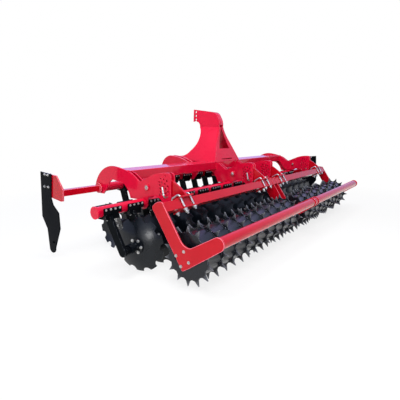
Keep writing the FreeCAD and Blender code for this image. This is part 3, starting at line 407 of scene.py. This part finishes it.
def soften(thing, size):
    """Rounds a node's sharp edges with live modifiers, and paints a highlight on some of them with a
    lighter finish.
    """
    weld = thing.modifiers.new("weld", "WELD")
    weld.merge_threshold = WELD_REACH
    flat = thing.modifiers.new("flat", "DECIMATE")
    flat.decimate_type = "DISSOLVE"
    flat.angle_limit = FLAT_ANGLE
    edge = thing.modifiers.new("edge", "BEVEL")
    edge.width = size
    edge.segments = EDGE_SEGMENTS
    edge.limit_method = "ANGLE"
    edge.angle_limit = SHARP_ANGLE
    edge.harden_normals = True
    # the rounded edges of these nodes take a lighter finish, a painted highlight of the light they
    # catch
    if thing.name.startswith(HIGHLIT_EDGE_NODES):
        black = finish_of(thing.name) in ("black_paint", "roller_paint")
        thing.data.materials.append(finishes["black_edge" if black else "red_edge"])
        edge.material = 1


for size, names in EDGE_SIZES.items():
    for name in names:
        soften(nodes[name], size)
    print("edge of", size, "on", len(names), "nodes")

# %% [markdown]
# Every new piece starts as a primitive and is shaped in edit mode, as by hand. Operators
# act on all that is selected, so small helpers come first: one leaves chosen things
# selected, one picks faces by their place or the way they point, and one adds a round
# blank that stands on a given height.

# %% Helpers for modelling
def choose(*things):
    """Selects only these objects; the first one is active."""
    bpy.ops.object.select_all(action="DESELECT")
    for thing in things:
        thing.select_set(True)
    bpy.context.view_layer.objects.active = things[0]


def pick_faces(thing, wanted):
    """Opens edit mode with only the wanted faces picked; wanted reads a middle and a normal."""
    choose(thing)
    bpy.ops.object.mode_set(mode="EDIT")
    bpy.ops.mesh.select_mode(type="FACE")
    bpy.ops.mesh.select_all(action="DESELECT")
    shape = bmesh.from_edit_mesh(thing.data)
    for face in shape.faces:
        face.select_set(wanted(face.calc_center_median(), face.normal))
    bmesh.update_edit_mesh(thing.data)


def any_face(middle, normal):
    """True for every face."""
    return True


def upper_face(middle, normal):
    """True for a face that points up."""
    return normal.z > 0.9


def rising_face(middle, normal):
    """True for a face that points at least a little up."""
    return normal.z > 0.3


def end_face(middle, normal):
    """True for a face at either end of a bar along X."""
    return abs(normal.x) > 0.9


def close_edit():
    """Back to object mode with nothing picked."""
    bpy.ops.mesh.select_all(action="DESELECT")
    bpy.ops.object.mode_set(mode="OBJECT")


def add_round(name, radius, height, low, sides):
    """A round or many-sided blank that stands on a height."""
    bpy.ops.object.select_all(action="DESELECT")
    bpy.ops.mesh.primitive_cylinder_add(
        vertices=sides, radius=radius, depth=height, location=(0, 0, low + height / 2)
    )
    blank = bpy.context.active_object
    blank.name = name
    bpy.ops.object.transform_apply(location=True, rotation=True, scale=True)
    return blank


print("helpers", [helper.__name__ for helper in (choose, pick_faces, close_edit, add_round)])

# %% [markdown]
# A hexagon bolt on this machine sits on a round washer, and its head has a chamfered top.
# Both are lathe work, but a six-sided blank with a bevelled top reads the same and costs
# few faces, and there are hundreds. One master is modelled for each size.

# %% Hexagon bolts
FLAT_TO_CORNER = 1 / math.cos(math.radians(30))
BOLT_SIDES = 6
WASHER_SIDES = 16
# shares of the head's width over flats
WASHER_RADIUS = 0.80
HEAD_CHAMFER = 0.07
CROWN_INSET = 0.10
# shares of the washer's thickness and of the head's height
WASHER_CHAMFER = 0.35
CROWN_DROP = 0.05
# each bolt in metres: width over flats, height of the head, thickness of the washer
BOLT_SIZES = {
    "small_bolt": (0.013, 0.006, 0.0015),
    "hub_bolt": (0.017, 0.009, 0.002),
    "plate_bolt": (0.016, 0.008, 0.002),
    "rod_nut": (0.0285, 0.0135, 0.0005),
    "pivot_bolt": (0.048, 0.0125, 0.002),
}


def make_bolt(name, across, tall, washer):
    """A bolt head on its washer, pointing up from the origin."""
    ring = add_round(name, across * WASHER_RADIUS, washer, 0, WASHER_SIDES)
    pick_faces(ring, upper_face)
    bpy.ops.mesh.bevel(offset=washer * WASHER_CHAMFER, segments=1)
    close_edit()
    head = add_round(name + "_head", across / 2 * FLAT_TO_CORNER, tall, washer, BOLT_SIDES)
    pick_faces(head, upper_face)
    bpy.ops.mesh.bevel(offset=across * HEAD_CHAMFER, segments=1)
    close_edit()
    pick_faces(head, upper_face)
    bpy.ops.mesh.inset(thickness=across * CROWN_INSET, depth=-tall * CROWN_DROP)
    close_edit()
    choose(ring, head)
    bpy.ops.object.join()
    return ring


masters = {name: make_bolt(name, *size) for name, size in BOLT_SIZES.items()}
for name, master in masters.items():
    print(name, len(master.data.polygons), "faces")

# %% [markdown]
# What repeats is modelled once. A copy has its own mesh, is set at its spot, and the
# copies on one body are joined, so that a row of bolts is one piece with its place in its
# mesh.

# %% Copies at their spots
SMOOTH_ANGLE = math.radians(35)


def spot(place, outward, turn=0.0):
    """A place for a copy, whose own up then points outward."""
    way = Vector(outward).to_track_quat("Z", "Y").to_matrix().to_4x4()
    return Matrix.Translation(Vector(place)) @ way @ Matrix.Rotation(turn, 4, "Z")


def set_copies(master, spots, name, body, finish):
    """Copies a master to each spot and joins the copies into one piece that rides on a body."""
    copies = []
    for matrix in spots:
        copy = master.copy()
        copy.data = master.data.copy()
        copy.matrix_world = matrix
        bpy.context.collection.objects.link(copy)
        copies.append(copy)
    choose(*copies)
    bpy.ops.object.transform_apply(location=True, rotation=True, scale=True)
    if len(copies) > 1:
        bpy.ops.object.join()
    piece = bpy.context.active_object
    piece.name = name
    piece.data.materials.clear()
    piece.data.materials.append(finishes[finish])
    bpy.ops.object.shade_smooth_by_angle(angle=SMOOTH_ANGLE)
    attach(piece, body)


print("copies are smooth under", round(math.degrees(SMOOTH_ANGLE)), "degrees")

# %% [markdown]
# Six bolts hold each disc to the flange of its hub. Their heads are on the hub's side and
# their nuts in the dish, and they turn with the disc, so each disc carries its own piece.
# Their spots follow the disc's joint, which gives its middle and its axis.

# %% Hub bolts
HUB_BOLTS = 6
HUB_CIRCLE = 0.056
# from the joint's place back to the flange's rear face, and on to the inside of the dish
FLANGE_BACK = 0.014
DISC_FRONT = 0.006

disc_bodies = [name for name in frame["bodies"] if name.startswith("disc_")]
for body in disc_bodies:
    joint = joints[body + "_spin"]
    middle = Vector(joint["pos_m"])
    axis = Vector(joint["axis"]).normalized()
    side = axis.cross(Vector((0, 0, 1)))
    spots = []
    for number in range(HUB_BOLTS):
        turn = Matrix.Rotation(number * math.tau / HUB_BOLTS, 3, axis)
        out = turn @ side * HUB_CIRCLE
        spots.append(spot(middle + out - axis * FLANGE_BACK, -axis))
        spots.append(spot(middle + out + axis * DISC_FRONT, axis))
    set_copies(masters["hub_bolt"], spots, body + "_bolts", body, "zinc")
print("discs with bolts", len(disc_bodies))

# %% [markdown]
# The clamp of a disc arm is two shells round the tool tube. Between shell and tube lie
# four rubber rods, whose round ends show at the clamp's sides. They let an arm give way at
# a stone. A rod's end is a flat round with a soft rim and a shallow dip, which a short
# blank gives when it is bevelled and inset.

# %% End of a rubber rod
ROD_RADIUS = 0.013
ROD_SHOWS = 0.004
ROD_SIDES = 20
ROD_RIM = 0.002
DIP_INSET = 0.005
DIP_DEPTH = 0.0015

rod_end = add_round("rod_end", ROD_RADIUS, ROD_SHOWS, 0, ROD_SIDES)
pick_faces(rod_end, upper_face)
bpy.ops.mesh.bevel(offset=ROD_RIM, segments=2)
close_edit()
pick_faces(rod_end, upper_face)
bpy.ops.mesh.inset(thickness=DIP_INSET, depth=-DIP_DEPTH)
close_edit()
masters["rod_end"] = rod_end
print("rod end", len(rod_end.data.polygons), "faces")

# %% [markdown]
# A flat bar along the front of the clamp and another along its back carry the heads of
# its bolts. Both are sawn from flat steel. A scaled cube is enough: a smaller face is
# drawn into each end, and then every edge is softened.

# %% Bar of a clamp
BAR_WIDE = 0.176
BAR_DEEP = 0.012
BAR_LOW = -0.014
BAR_HIGH = 0.036
END_INSET = 0.001
END_SHARE = 0.55
BAR_EDGE = 0.0015

bpy.ops.object.select_all(action="DESELECT")
bpy.ops.mesh.primitive_cube_add(size=1, location=(0, 0, 0))
edge_bar = bpy.context.active_object
edge_bar.name = "edge_bar"
edge_bar.scale = (BAR_WIDE, BAR_DEEP, BAR_HIGH - BAR_LOW)
edge_bar.location = (0, 0, (BAR_HIGH + BAR_LOW) / 2)
bpy.ops.object.transform_apply(location=True, rotation=True, scale=True)
pick_faces(edge_bar, end_face)
bpy.ops.mesh.inset(thickness=END_INSET, depth=0.0)
bpy.ops.transform.resize(value=(1, 1, END_SHARE))
close_edit()
pick_faces(edge_bar, any_face)
bpy.ops.mesh.bevel(offset=BAR_EDGE, segments=2)
close_edit()
masters["edge_bar"] = edge_bar
print("bar", len(edge_bar.data.polygons), "faces")

# %% [markdown]
# Every clamp has the same two bars, four bolts through each of them, four bolts from below
# and eight rod ends. Its middle is the tool tube's, and the clamps follow each other at
# the pitch of the discs, so the spots are worked out from the tube and one arm's place.

# %% Clamp bolts and rubber rods
# the clamp: its width along the tube, its depth, and its underside below the tube's middle
CLAMP_WIDE = 0.134
CLAMP_DEEP = 0.128
CLAMP_UNDER = 0.064
# its bolts: their step along the tube, the lower ones' distance from the tube's middle,
# and the upper ones' distance below the top of the bar
BOLT_STEP = 0.046
BOLT_BACK = 0.050
BOLT_DROP = 0.014
# the rubber rods, ahead of the tube's middle and above it
ROD_SPOTS = ((-0.048, -0.046), (0.048, -0.046), (-0.051, 0.006), (0.051, 0.006))
PITCH = joints["disc_rear_02_spin"]["pos_m"][0] - joints["disc_rear_01_spin"]["pos_m"][0]


def box_middle(node):
    """The middle of a node's box."""
    low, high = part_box(node)
    return (Vector(low) + Vector(high)) / 2


def bar_spots(x, tube):
    """Where the two bars of a clamp are."""
    away = (CLAMP_DEEP + BAR_DEEP) / 2
    return [Matrix.Translation((x, tube.y + way * away, tube.z)) for way in (-1, 1)]


def bolt_spots(x, tube):
    """Four bolts through each bar of a clamp and two below each of its edges."""
    spots = []
    for way in (-1, 1):
        face = tube.y + way * (CLAMP_DEEP / 2 + BAR_DEEP)
        for along in (-1.5, -0.5, 0.5, 1.5):
            place = (x + along * BOLT_STEP, face, tube.z + BAR_HIGH - BOLT_DROP)
            spots.append(spot(place, (0, way, 0)))
        for along in (-1, 1):
            place = (x + along * BOLT_STEP, tube.y + way * BOLT_BACK, tube.z - CLAMP_UNDER)
            spots.append(spot(place, (0, 0, -1)))
    return spots


def rod_spots(x, tube):
    """The ends of four rubber rods at both sides of a clamp."""
    spots = []
    for side in (-1, 1):
        for ahead, up in ROD_SPOTS:
            place = (x + side * CLAMP_WIDE / 2, tube.y + ahead, tube.z + up)
            spots.append(spot(place, (side, 0, 0)))
    return spots


# each kind of piece: its master, what tells its spots, its finish and its slot
CLAMP_PIECES = {
    "clamp_bolts": ("small_bolt", bolt_spots, "zinc", "zinc"),
    "clamp_bars": ("edge_bar", bar_spots, "black_paint", "black_paint"),
    "rubber_rods": ("rod_end", rod_spots, "rubber", "black_paint"),
}
rows = {}
for row, arms in (("front", "front_disc_arms"), ("rear", "rear_disc_arms")):
    tube = box_middle(row + "_tool_tube")
    low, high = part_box(arms)
    count = len([body for body in disc_bodies if body.startswith("disc_" + row)])
    # the front row ends with a clamp and the rear row begins with one
    first = low[0] if row == "rear" else high[0] - (count - 1) * PITCH - CLAMP_WIDE
    rows[row] = [first + CLAMP_WIDE / 2 + number * PITCH for number in range(count)]
    for kind, (master, spots_of, finish, slot) in CLAMP_PIECES.items():
        spots = [place for x in rows[row] for place in spots_of(x, tube)]
        set_copies(masters[master], spots, f"{kind}_{row}", "frame", finish)
print("clamps", {row: len(places) for row, places in rows.items()}, "pitch", round(PITCH, 3))

# %% [markdown]
# The roller's frame swings on four large pivot bolts. Their heads are painted with the
# frame, and each is locked by a small zinc bolt. Every bearing of the roller is held by
# four bolts through the plate. The spots come from the boxes of those plates.

# %% Pivot bolts and bearing bolts
END_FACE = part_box("end_plate_right")[1][0]
CENTRE_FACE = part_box("centre_plates")[1][0]
PIVOT_Z = joints["roller_depth"]["pos_m"][2]
# from a plate's outer face to the inner face of its twin
TWIN_DEPTH = 0.058
# the height where a pivot bolt's lock sits, and the turns in which the heads were left
PIVOT_HEAD = 0.0139
OUTER_TURN = 0.2
INNER_TURN = 0.5
# the plates of the roller's frame, and the circle of a bearing's bolts
SIDE_PLATE = 0.014
ROLLER_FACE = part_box("roller_side_right")[1][0]
CENTRE_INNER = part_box("roller_centre_plates")[1][0] - SIDE_PLATE
BEARING_BOLTS = 4
BEARING_CIRCLE = 0.063
BEARING_TURN = math.radians(13)

pivots = []
locks = []
for face in (END_FACE, CENTRE_FACE):
    for side in (-1, 1):
        for x, way, turn in ((face, side, OUTER_TURN), (face - TWIN_DEPTH, -side, INNER_TURN)):
            pivots.append(spot((side * x, 0, PIVOT_Z), (way, 0, 0), turn))
            locks.append(spot((side * x + way * PIVOT_HEAD, 0, PIVOT_Z), (way, 0, 0)))
set_copies(masters["pivot_bolt"], pivots, "pivot_bolts", "frame", "red_paint")
set_copies(masters["plate_bolt"], locks, "pivot_locks", "frame", "zinc")

bearing_spots = []
for number in range(BEARING_BOLTS):
    angle = BEARING_TURN + number * math.tau / BEARING_BOLTS
    y = roller_axis.y + BEARING_CIRCLE * math.cos(angle)
    z = roller_axis.z + BEARING_CIRCLE * math.sin(angle)
    for side in (-1, 1):
        bearing_spots.append(spot((side * ROLLER_FACE, y, z), (side, 0, 0), angle))
        bearing_spots.append(spot((side * CENTRE_INNER, y, z), (-side, 0, 0), angle))
set_copies(masters["plate_bolt"], bearing_spots, "bearing_bolts", "roller_frame", "zinc")
print("pivot bolts", len(pivots), "bearing bolts", len(bearing_spots))

# %% [markdown]
# Two U bolts go over each arm's foot plate and round the roller's beam, and each of their
# legs ends in a nut below the backing plate. The beam leans, so the nuts lean with it: one
# direction points down along the legs, and the other back across the plate.

# %% U bolt nuts
# the roller's beam: its lean, half of its side, and the plate that seats on it
ROLLER_LEAN = math.radians(32.7)
HALF_BEAM = 0.040
FOOT_PLATE = 0.012
# a U bolt's legs stand clear of the beam's sides, and an arm's two are this far apart
U_ROD = 0.008
LEG_GAP = 0.001
LEG_BACK = HALF_BEAM + U_ROD + LEG_GAP
U_SPACING = 0.125
# the middle of a roller arm, inwards of the outer plate's face
ARM_INSET = 0.029
NUT_TURN = 0.3
down = Vector((0, -math.sin(ROLLER_LEAN), -math.cos(ROLLER_LEAN)))
back = Vector((0, -math.cos(ROLLER_LEAN), math.sin(ROLLER_LEAN)))
beam_middle = box_middle("roller_beam")

nuts = []
for face in (END_FACE, CENTRE_FACE):
    for side in (-1, 1):
        for across in (-U_SPACING / 2, U_SPACING / 2):
            for leg in (-1, 1):
                place = Vector((side * (face - ARM_INSET) + across, beam_middle.y, beam_middle.z))
                place += back * leg * LEG_BACK + down * (HALF_BEAM + FOOT_PLATE)
                nuts.append(spot(place, down, NUT_TURN))
set_copies(masters["rod_nut"], nuts, "u_bolt_nuts", "roller_frame", "zinc")
print("U bolt nuts", len(nuts))

# %% [markdown]
# Each deflector's blade is a flat plate on a bracket, held by two pairs of bolts. One
# painted bolt more stands near the left blade's lower tip. The right blade is the widest
# place of the machine, so its bolts have heads on the inside only.

# %% Blade bolts
# each bolt: inset from the left blade's front edge or the right one's rear edge, and its
# distance below the blade's top
BLADE_SPOTS = ((0.111, 0.022), (0.162, 0.024), (0.093, 0.137), (0.157, 0.137))
TIP_SPOT = (0.169, 0.671)
BRACKET_THICK = 0.012
blade_spots = []
tip_spots = []
for side, word in ((-1, "left"), (1, "right")):
    low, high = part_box("deflector_blade_" + word)
    for inset, below in BLADE_SPOTS:
        y = high[1] - inset if side < 0 else low[1] + inset
        inner_x = side * (min(abs(low[0]), abs(high[0])) - BRACKET_THICK)
        blade_spots.append(spot((inner_x, y, high[2] - below), (-side, 0, 0)))
        if side < 0:
            blade_spots.append(spot((low[0], y, high[2] - below), (side, 0, 0)))
    if side < 0:
        tip_spots.append(spot((low[0], high[1] - TIP_SPOT[0], high[2] - TIP_SPOT[1]), (side, 0, 0)))
set_copies(masters["plate_bolt"], blade_spots, "blade_bolts", "frame", "zinc")
set_copies(masters["plate_bolt"], tip_spots, "blade_tip_bolts", "frame", "black_paint")
print("blade bolts", len(blade_spots), "tip bolts", len(tip_spots))

# %% [markdown]
# Where two plates meet at a corner a welder lays a bead of overlapping drops. A bead
# could be one ribbed tube, but single drops give the ripple by themselves. One drop is a
# squashed ball whose upper half leans back, against the way the torch goes.

# %% One drop of a weld bead
# a drop's radius, and the step from drop to drop
BEAD = 0.0055
BEAD_STEP = 0.0065
DROP_SQUASH = (0.85, 1.0, 0.9)
DROP_LEAN = (-0.0015, 0, 0)

bpy.ops.object.select_all(action="DESELECT")
bpy.ops.mesh.primitive_uv_sphere_add(segments=8, ring_count=6, radius=BEAD, location=(0, 0, 0))
drop = bpy.context.active_object
drop.name = "drop"
pick_faces(drop, any_face)
bpy.ops.transform.resize(value=DROP_SQUASH)
close_edit()
pick_faces(drop, rising_face)
bpy.ops.transform.translate(value=DROP_LEAN)
close_edit()
masters["drop"] = drop
print("drop faces", len(drop.data.polygons))

# %% [markdown]
# An Array modifier repeats the drop along a straight seam and is applied, and Spin carries
# it round a pipe. Each bead is then plain mesh, and all beads on a body are joined into
# one painted piece, because a frame is painted after it is welded.

# %% Straight and round beads
BEAD_SMOOTH = math.radians(60)


def copy_of(master, matrix):
    """A copy with its own mesh, placed in its mesh."""
    copy = master.copy()
    copy.data = master.data.copy()
    bpy.context.collection.objects.link(copy)
    copy.matrix_world = matrix
    choose(copy)
    bpy.ops.object.transform_apply(location=True, rotation=True, scale=True)
    return copy


def straight_bead(start, end):
    """Drops from one point to another."""
    run = Vector(end) - Vector(start)
    bead = copy_of(drop, Matrix.Identity(4))
    row = bead.modifiers.new("row", "ARRAY")
    row.use_relative_offset = False
    row.use_constant_offset = True
    row.constant_offset_displace = (BEAD_STEP, 0, 0)
    row.count = max(2, round(run.length / BEAD_STEP))
    bpy.ops.object.modifier_apply(modifier="row")
    way = run.to_track_quat("X", "Z").to_matrix().to_4x4()
    bead.matrix_world = Matrix.Translation(Vector(start)) @ way
    bpy.ops.object.transform_apply(location=True, rotation=True, scale=True)
    return bead


def round_bead(centre, radius):
    """Drops round a pipe that lies along X."""
    centre = Vector(centre)
    along = Vector((0, 1, 0)).to_track_quat("X", "Z").to_matrix().to_4x4()
    bead = copy_of(drop, Matrix.Translation(centre + Vector((0, 0, radius))) @ along)
    steps = round(math.tau * radius / BEAD_STEP)
    pick_faces(bead, any_face)
    bpy.ops.mesh.spin(
        steps=steps - 1, dupli=True, angle=math.tau * (steps - 1) / steps, center=centre, axis=(1, 0, 0)
    )
    close_edit()
    return bead


def join_beads(beads, name, body, finish):
    """One painted piece from all beads on a body."""
    choose(*beads)
    bpy.ops.object.join()
    piece = bpy.context.active_object
    piece.name = name
    piece.data.materials.clear()
    piece.data.materials.append(finishes[finish])
    bpy.ops.object.shade_smooth_by_angle(angle=BEAD_SMOOTH)
    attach(piece, body)
    print(name, len(piece.data.polygons), "faces")


print("bead radius", BEAD, "step", BEAD_STEP)

# %% [markdown]
# The main beam is welded to the end plates and to the centre plates along its top and both
# its sides, and the tower's feet are welded to its top.

# %% Beads on the frame
# how far a seam keeps from a plate's face, and a foot's seam from the beam's edges
SEAM_IN = 0.002
FOOT_IN = 0.004
beam_low, beam_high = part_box("main_beam")
seam_places = (beam_high[0] - SEAM_IN, CENTRE_FACE + SEAM_IN, CENTRE_FACE - TWIN_DEPTH - SEAM_IN)
seams = []
for side in (-1, 1):
    for place in seam_places:
        x = side * place
        seams.append(((x, beam_low[1], beam_high[2]), (x, beam_high[1], beam_high[2])))
        seams.append(((x, beam_low[1], beam_low[2]), (x, beam_low[1], beam_high[2])))
        seams.append(((x, beam_high[1], beam_low[2]), (x, beam_high[1], beam_high[2])))
foot_low, foot_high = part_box("tower_plates")
for x in (foot_low[0], foot_high[0]):
    start = (x, beam_low[1] + FOOT_IN, beam_high[2])
    seams.append((start, (x, beam_high[1] - FOOT_IN, beam_high[2])))
join_beads([straight_bead(*seam) for seam in seams], "weld_beads_frame", "frame", "red_paint")

# %% [markdown]
# On the roller's frame the arms are welded to their foot plates, the rear bar to the plates
# at both ends of each half, and the leaning beam to the end plates along three of its
# sides. Those three seams run from corner to corner of the beam, counted back and down.

# %% Beads on the roller frame
# half of an arm's thickness, half of its seam's length, and the radius of the rear bar
ARM_HALF = 0.012
FOOT_HALF = 0.068
BAR_RADIUS = 0.045
# each seam's start and end, as corners of the beam: how far back and how far down
BEAM_SEAMS = (((-1, -1), (1, -1)), ((1, -1), (1, 1)), ((-1, 1), (-1, -1)))


def beam_corner(x, backward, downward):
    """A corner of the roller's beam."""
    middle = Vector((x, beam_middle.y, beam_middle.z))
    return middle + back * HALF_BEAM * backward + down * HALF_BEAM * downward


beads = []
for face in (END_FACE, CENTRE_FACE):
    for side in (-1, 1):
        for edge in (-ARM_HALF, ARM_HALF):
            seat = Vector((side * (face - ARM_INSET) + edge, beam_middle.y, beam_middle.z))
            seat -= down * (HALF_BEAM + FOOT_PLATE)
            beads.append(straight_bead(seat - back * FOOT_HALF, seat + back * FOOT_HALF))
bar_middle = box_middle("roller_rear_bar")
for side in (-1, 1):
    for x in (ROLLER_FACE - SIDE_PLATE, CENTRE_INNER + SIDE_PLATE):
        beads.append(round_bead((side * x, bar_middle.y, bar_middle.z), BAR_RADIUS))
    x = side * (ROLLER_FACE - SIDE_PLATE)
    for start, stop in BEAM_SEAMS:
        beads.append(straight_bead(beam_corner(x, *start), beam_corner(x, *stop)))
# the roller frame's beads take the red with painted shade, as the frame does
join_beads(beads, "weld_beads_roller", "roller_frame", "deep_red")

# %% [markdown]
# The machine stands on a pale sheet that reaches past the edges of the picture. It takes a
# soft shadow near the machine and fades to plain white further out. A large sheet of
# studio paper does that with lamps alone. Here a glow is blended in by the distance from
# the middle, and only for what the camera and the reflections see of the floor.

# %% Floor
FLOOR_SIZE = 90
FLOOR_COLOUR = (0.92, 0.92, 0.92, 1)
FLOOR_ROUGH = 0.9
# the glow's share near the machine, and the distances over which it becomes full
GLOW_NEAR = 0.80
FADE_FROM = 2.0
FADE_TO = 5.0
bpy.ops.object.select_all(action="DESELECT")
bpy.ops.mesh.primitive_plane_add(size=FLOOR_SIZE, location=(0, 0, 0))
floor = bpy.context.active_object
floor.name = "floor"
floor_material = bpy.data.materials.new("studio_floor")
floor_material.use_nodes = True
tree = floor_material.node_tree
shader = tree.nodes["Principled BSDF"]
shader.inputs["Base Color"].default_value = FLOOR_COLOUR
shader.inputs["Roughness"].default_value = FLOOR_ROUGH
glow = tree.nodes.new("ShaderNodeEmission")
glow.inputs["Strength"].default_value = 1.0
light_path = tree.nodes.new("ShaderNodeLightPath")
seen = tree.nodes.new("ShaderNodeMath")
seen.operation = "MAXIMUM"
tree.links.new(light_path.outputs["Is Camera Ray"], seen.inputs[0])
tree.links.new(light_path.outputs["Is Glossy Ray"], seen.inputs[1])
place = tree.nodes.new("ShaderNodeTexCoord")
reach = tree.nodes.new("ShaderNodeVectorMath")
reach.operation = "LENGTH"
tree.links.new(place.outputs["Object"], reach.inputs[0])
fade = tree.nodes.new("ShaderNodeMapRange")
fade.inputs["From Min"].default_value = FADE_FROM
fade.inputs["From Max"].default_value = FADE_TO
fade.inputs["To Min"].default_value = GLOW_NEAR
fade.inputs["To Max"].default_value = 1.0
tree.links.new(reach.outputs["Value"], fade.inputs["Value"])
amount = tree.nodes.new("ShaderNodeMath")
amount.operation = "MULTIPLY"
tree.links.new(seen.outputs["Value"], amount.inputs[0])
tree.links.new(fade.outputs["Result"], amount.inputs[1])
blend = tree.nodes.new("ShaderNodeMixShader")
tree.links.new(amount.outputs["Value"], blend.inputs["Fac"])
tree.links.new(shader.outputs["BSDF"], blend.inputs[1])
tree.links.new(glow.outputs["Emission"], blend.inputs[2])
tree.links.new(blend.outputs["Shader"], tree.nodes["Material Output"].inputs["Surface"])
floor.data.materials.append(floor_material)
print("floor fades from", FADE_FROM, "to", FADE_TO, "m")

# %% [markdown]
# The world is a soft overcast sky: white for the camera, and bluish for reflections, most
# of all low down ahead of the machine, where the top faces of the beams mirror it. That is
# what turns the tops of red paint pink. A ramp over one direction is enough for it, and
# the plain light that falls on the machine stays apart, so that each has its own strength.

# %% World
# the light that falls on the machine
PLAIN_LIGHT = (0.93, 0.95, 1.0, 1)
PLAIN_STRENGTH = 0.48
# the sky in its reflections: the side where it is brightest, its colours, and how far a
# direction has to turn to that side for each colour
SKY_SIDE = (0.62, 0.75, 0.23)
SKY_PALE = (0.62, 0.70, 1.02, 1)
SKY_BRIGHT = (0.60, 0.52, 1.05, 1)
SKY_FROM = 0.45
SKY_TO = 0.90
SKY_STRENGTH = 1.0
PLAIN_WHITE = (1, 1, 1, 1)
world = bpy.data.worlds.new("overcast_sky")
bpy.context.scene.world = world
world.use_nodes = True
tree = world.node_tree
tree.nodes.clear()
plain = tree.nodes.new("ShaderNodeBackground")
plain.inputs["Color"].default_value = PLAIN_LIGHT
plain.inputs["Strength"].default_value = PLAIN_STRENGTH
sky = tree.nodes.new("ShaderNodeBackground")
sky.inputs["Strength"].default_value = SKY_STRENGTH
direction = tree.nodes.new("ShaderNodeTexCoord")
facing = tree.nodes.new("ShaderNodeVectorMath")
facing.operation = "DOT_PRODUCT"
facing.inputs[1].default_value = SKY_SIDE
ramp = tree.nodes.new("ShaderNodeValToRGB")
ramp.color_ramp.elements[0].position = SKY_FROM
ramp.color_ramp.elements[0].color = SKY_PALE
ramp.color_ramp.elements[1].position = SKY_TO
ramp.color_ramp.elements[1].color = SKY_BRIGHT
tree.links.new(direction.outputs["Generated"], facing.inputs[0])
tree.links.new(facing.outputs["Value"], ramp.inputs["Fac"])
tree.links.new(ramp.outputs["Color"], sky.inputs["Color"])
white = tree.nodes.new("ShaderNodeBackground")
white.inputs["Color"].default_value = PLAIN_WHITE
light_path = tree.nodes.new("ShaderNodeLightPath")
mix_glossy = tree.nodes.new("ShaderNodeMixShader")
mix_camera = tree.nodes.new("ShaderNodeMixShader")
output = tree.nodes.new("ShaderNodeOutputWorld")
tree.links.new(light_path.outputs["Is Glossy Ray"], mix_glossy.inputs["Fac"])
tree.links.new(plain.outputs["Background"], mix_glossy.inputs[1])
tree.links.new(sky.outputs["Background"], mix_glossy.inputs[2])
tree.links.new(light_path.outputs["Is Camera Ray"], mix_camera.inputs["Fac"])
tree.links.new(mix_glossy.outputs["Shader"], mix_camera.inputs[1])
tree.links.new(white.outputs["Background"], mix_camera.inputs[2])
tree.links.new(mix_camera.outputs["Shader"], output.inputs["Surface"])
bpy.context.scene.view_settings.view_transform = "Standard"
print("world light", PLAIN_STRENGTH, "reflections", SKY_STRENGTH)

# %% [markdown]
# Four soft lamps shape the machine: the main one above its left end, a second behind the
# roller, a small one beside the left end, and a blue one ahead, for the sheen of the sky
# on the dishes. Large lamps keep the shadows soft, as under cloud.

# %% Lamps
def area_lamp(name, place, target, size, power, colour):
    """A large soft lamp that points at a target."""
    bpy.ops.object.light_add(type="AREA", location=place)
    lamp = bpy.context.active_object
    lamp.name = name
    lamp.data.size = size
    lamp.data.energy = power
    lamp.data.color = colour
    lamp.rotation_mode = "QUATERNION"
    lamp.rotation_quaternion = (Vector(target) - Vector(place)).to_track_quat("-Z", "Y")


WHITE = (1, 1, 1)
SKY_BLUE = (0.35, 0.50, 1.0)
NEAR_END = (-1.0, 0.0, 0.4)
middle = (lowest + highest) / 2
# each lamp: its name, its place, what it points at, its size, its power and its colour
LAMPS = (
    ("lamp_over", (-2.0, -1.0, 5.0), middle, 3.0, 240, WHITE),
    ("lamp_rear", (-4.5, -5.0, 3.0), middle, 2.5, 80, WHITE),
    ("lamp_side", (-6.5, -0.7, 0.8), NEAR_END, 1.0, 65, WHITE),
    ("lamp_front", (0.5, 5.5, 3.5), middle, 3.0, 60, SKY_BLUE),
)
for lamp in LAMPS:
    area_lamp(*lamp)
print("lamps", [lamp[0] for lamp in LAMPS])

# %% [markdown]
# The masters have done their work and are removed. The dressed machine has to stay
# inside the engineering model's box.

# %% The end
choose(*masters.values())
bpy.ops.object.delete()
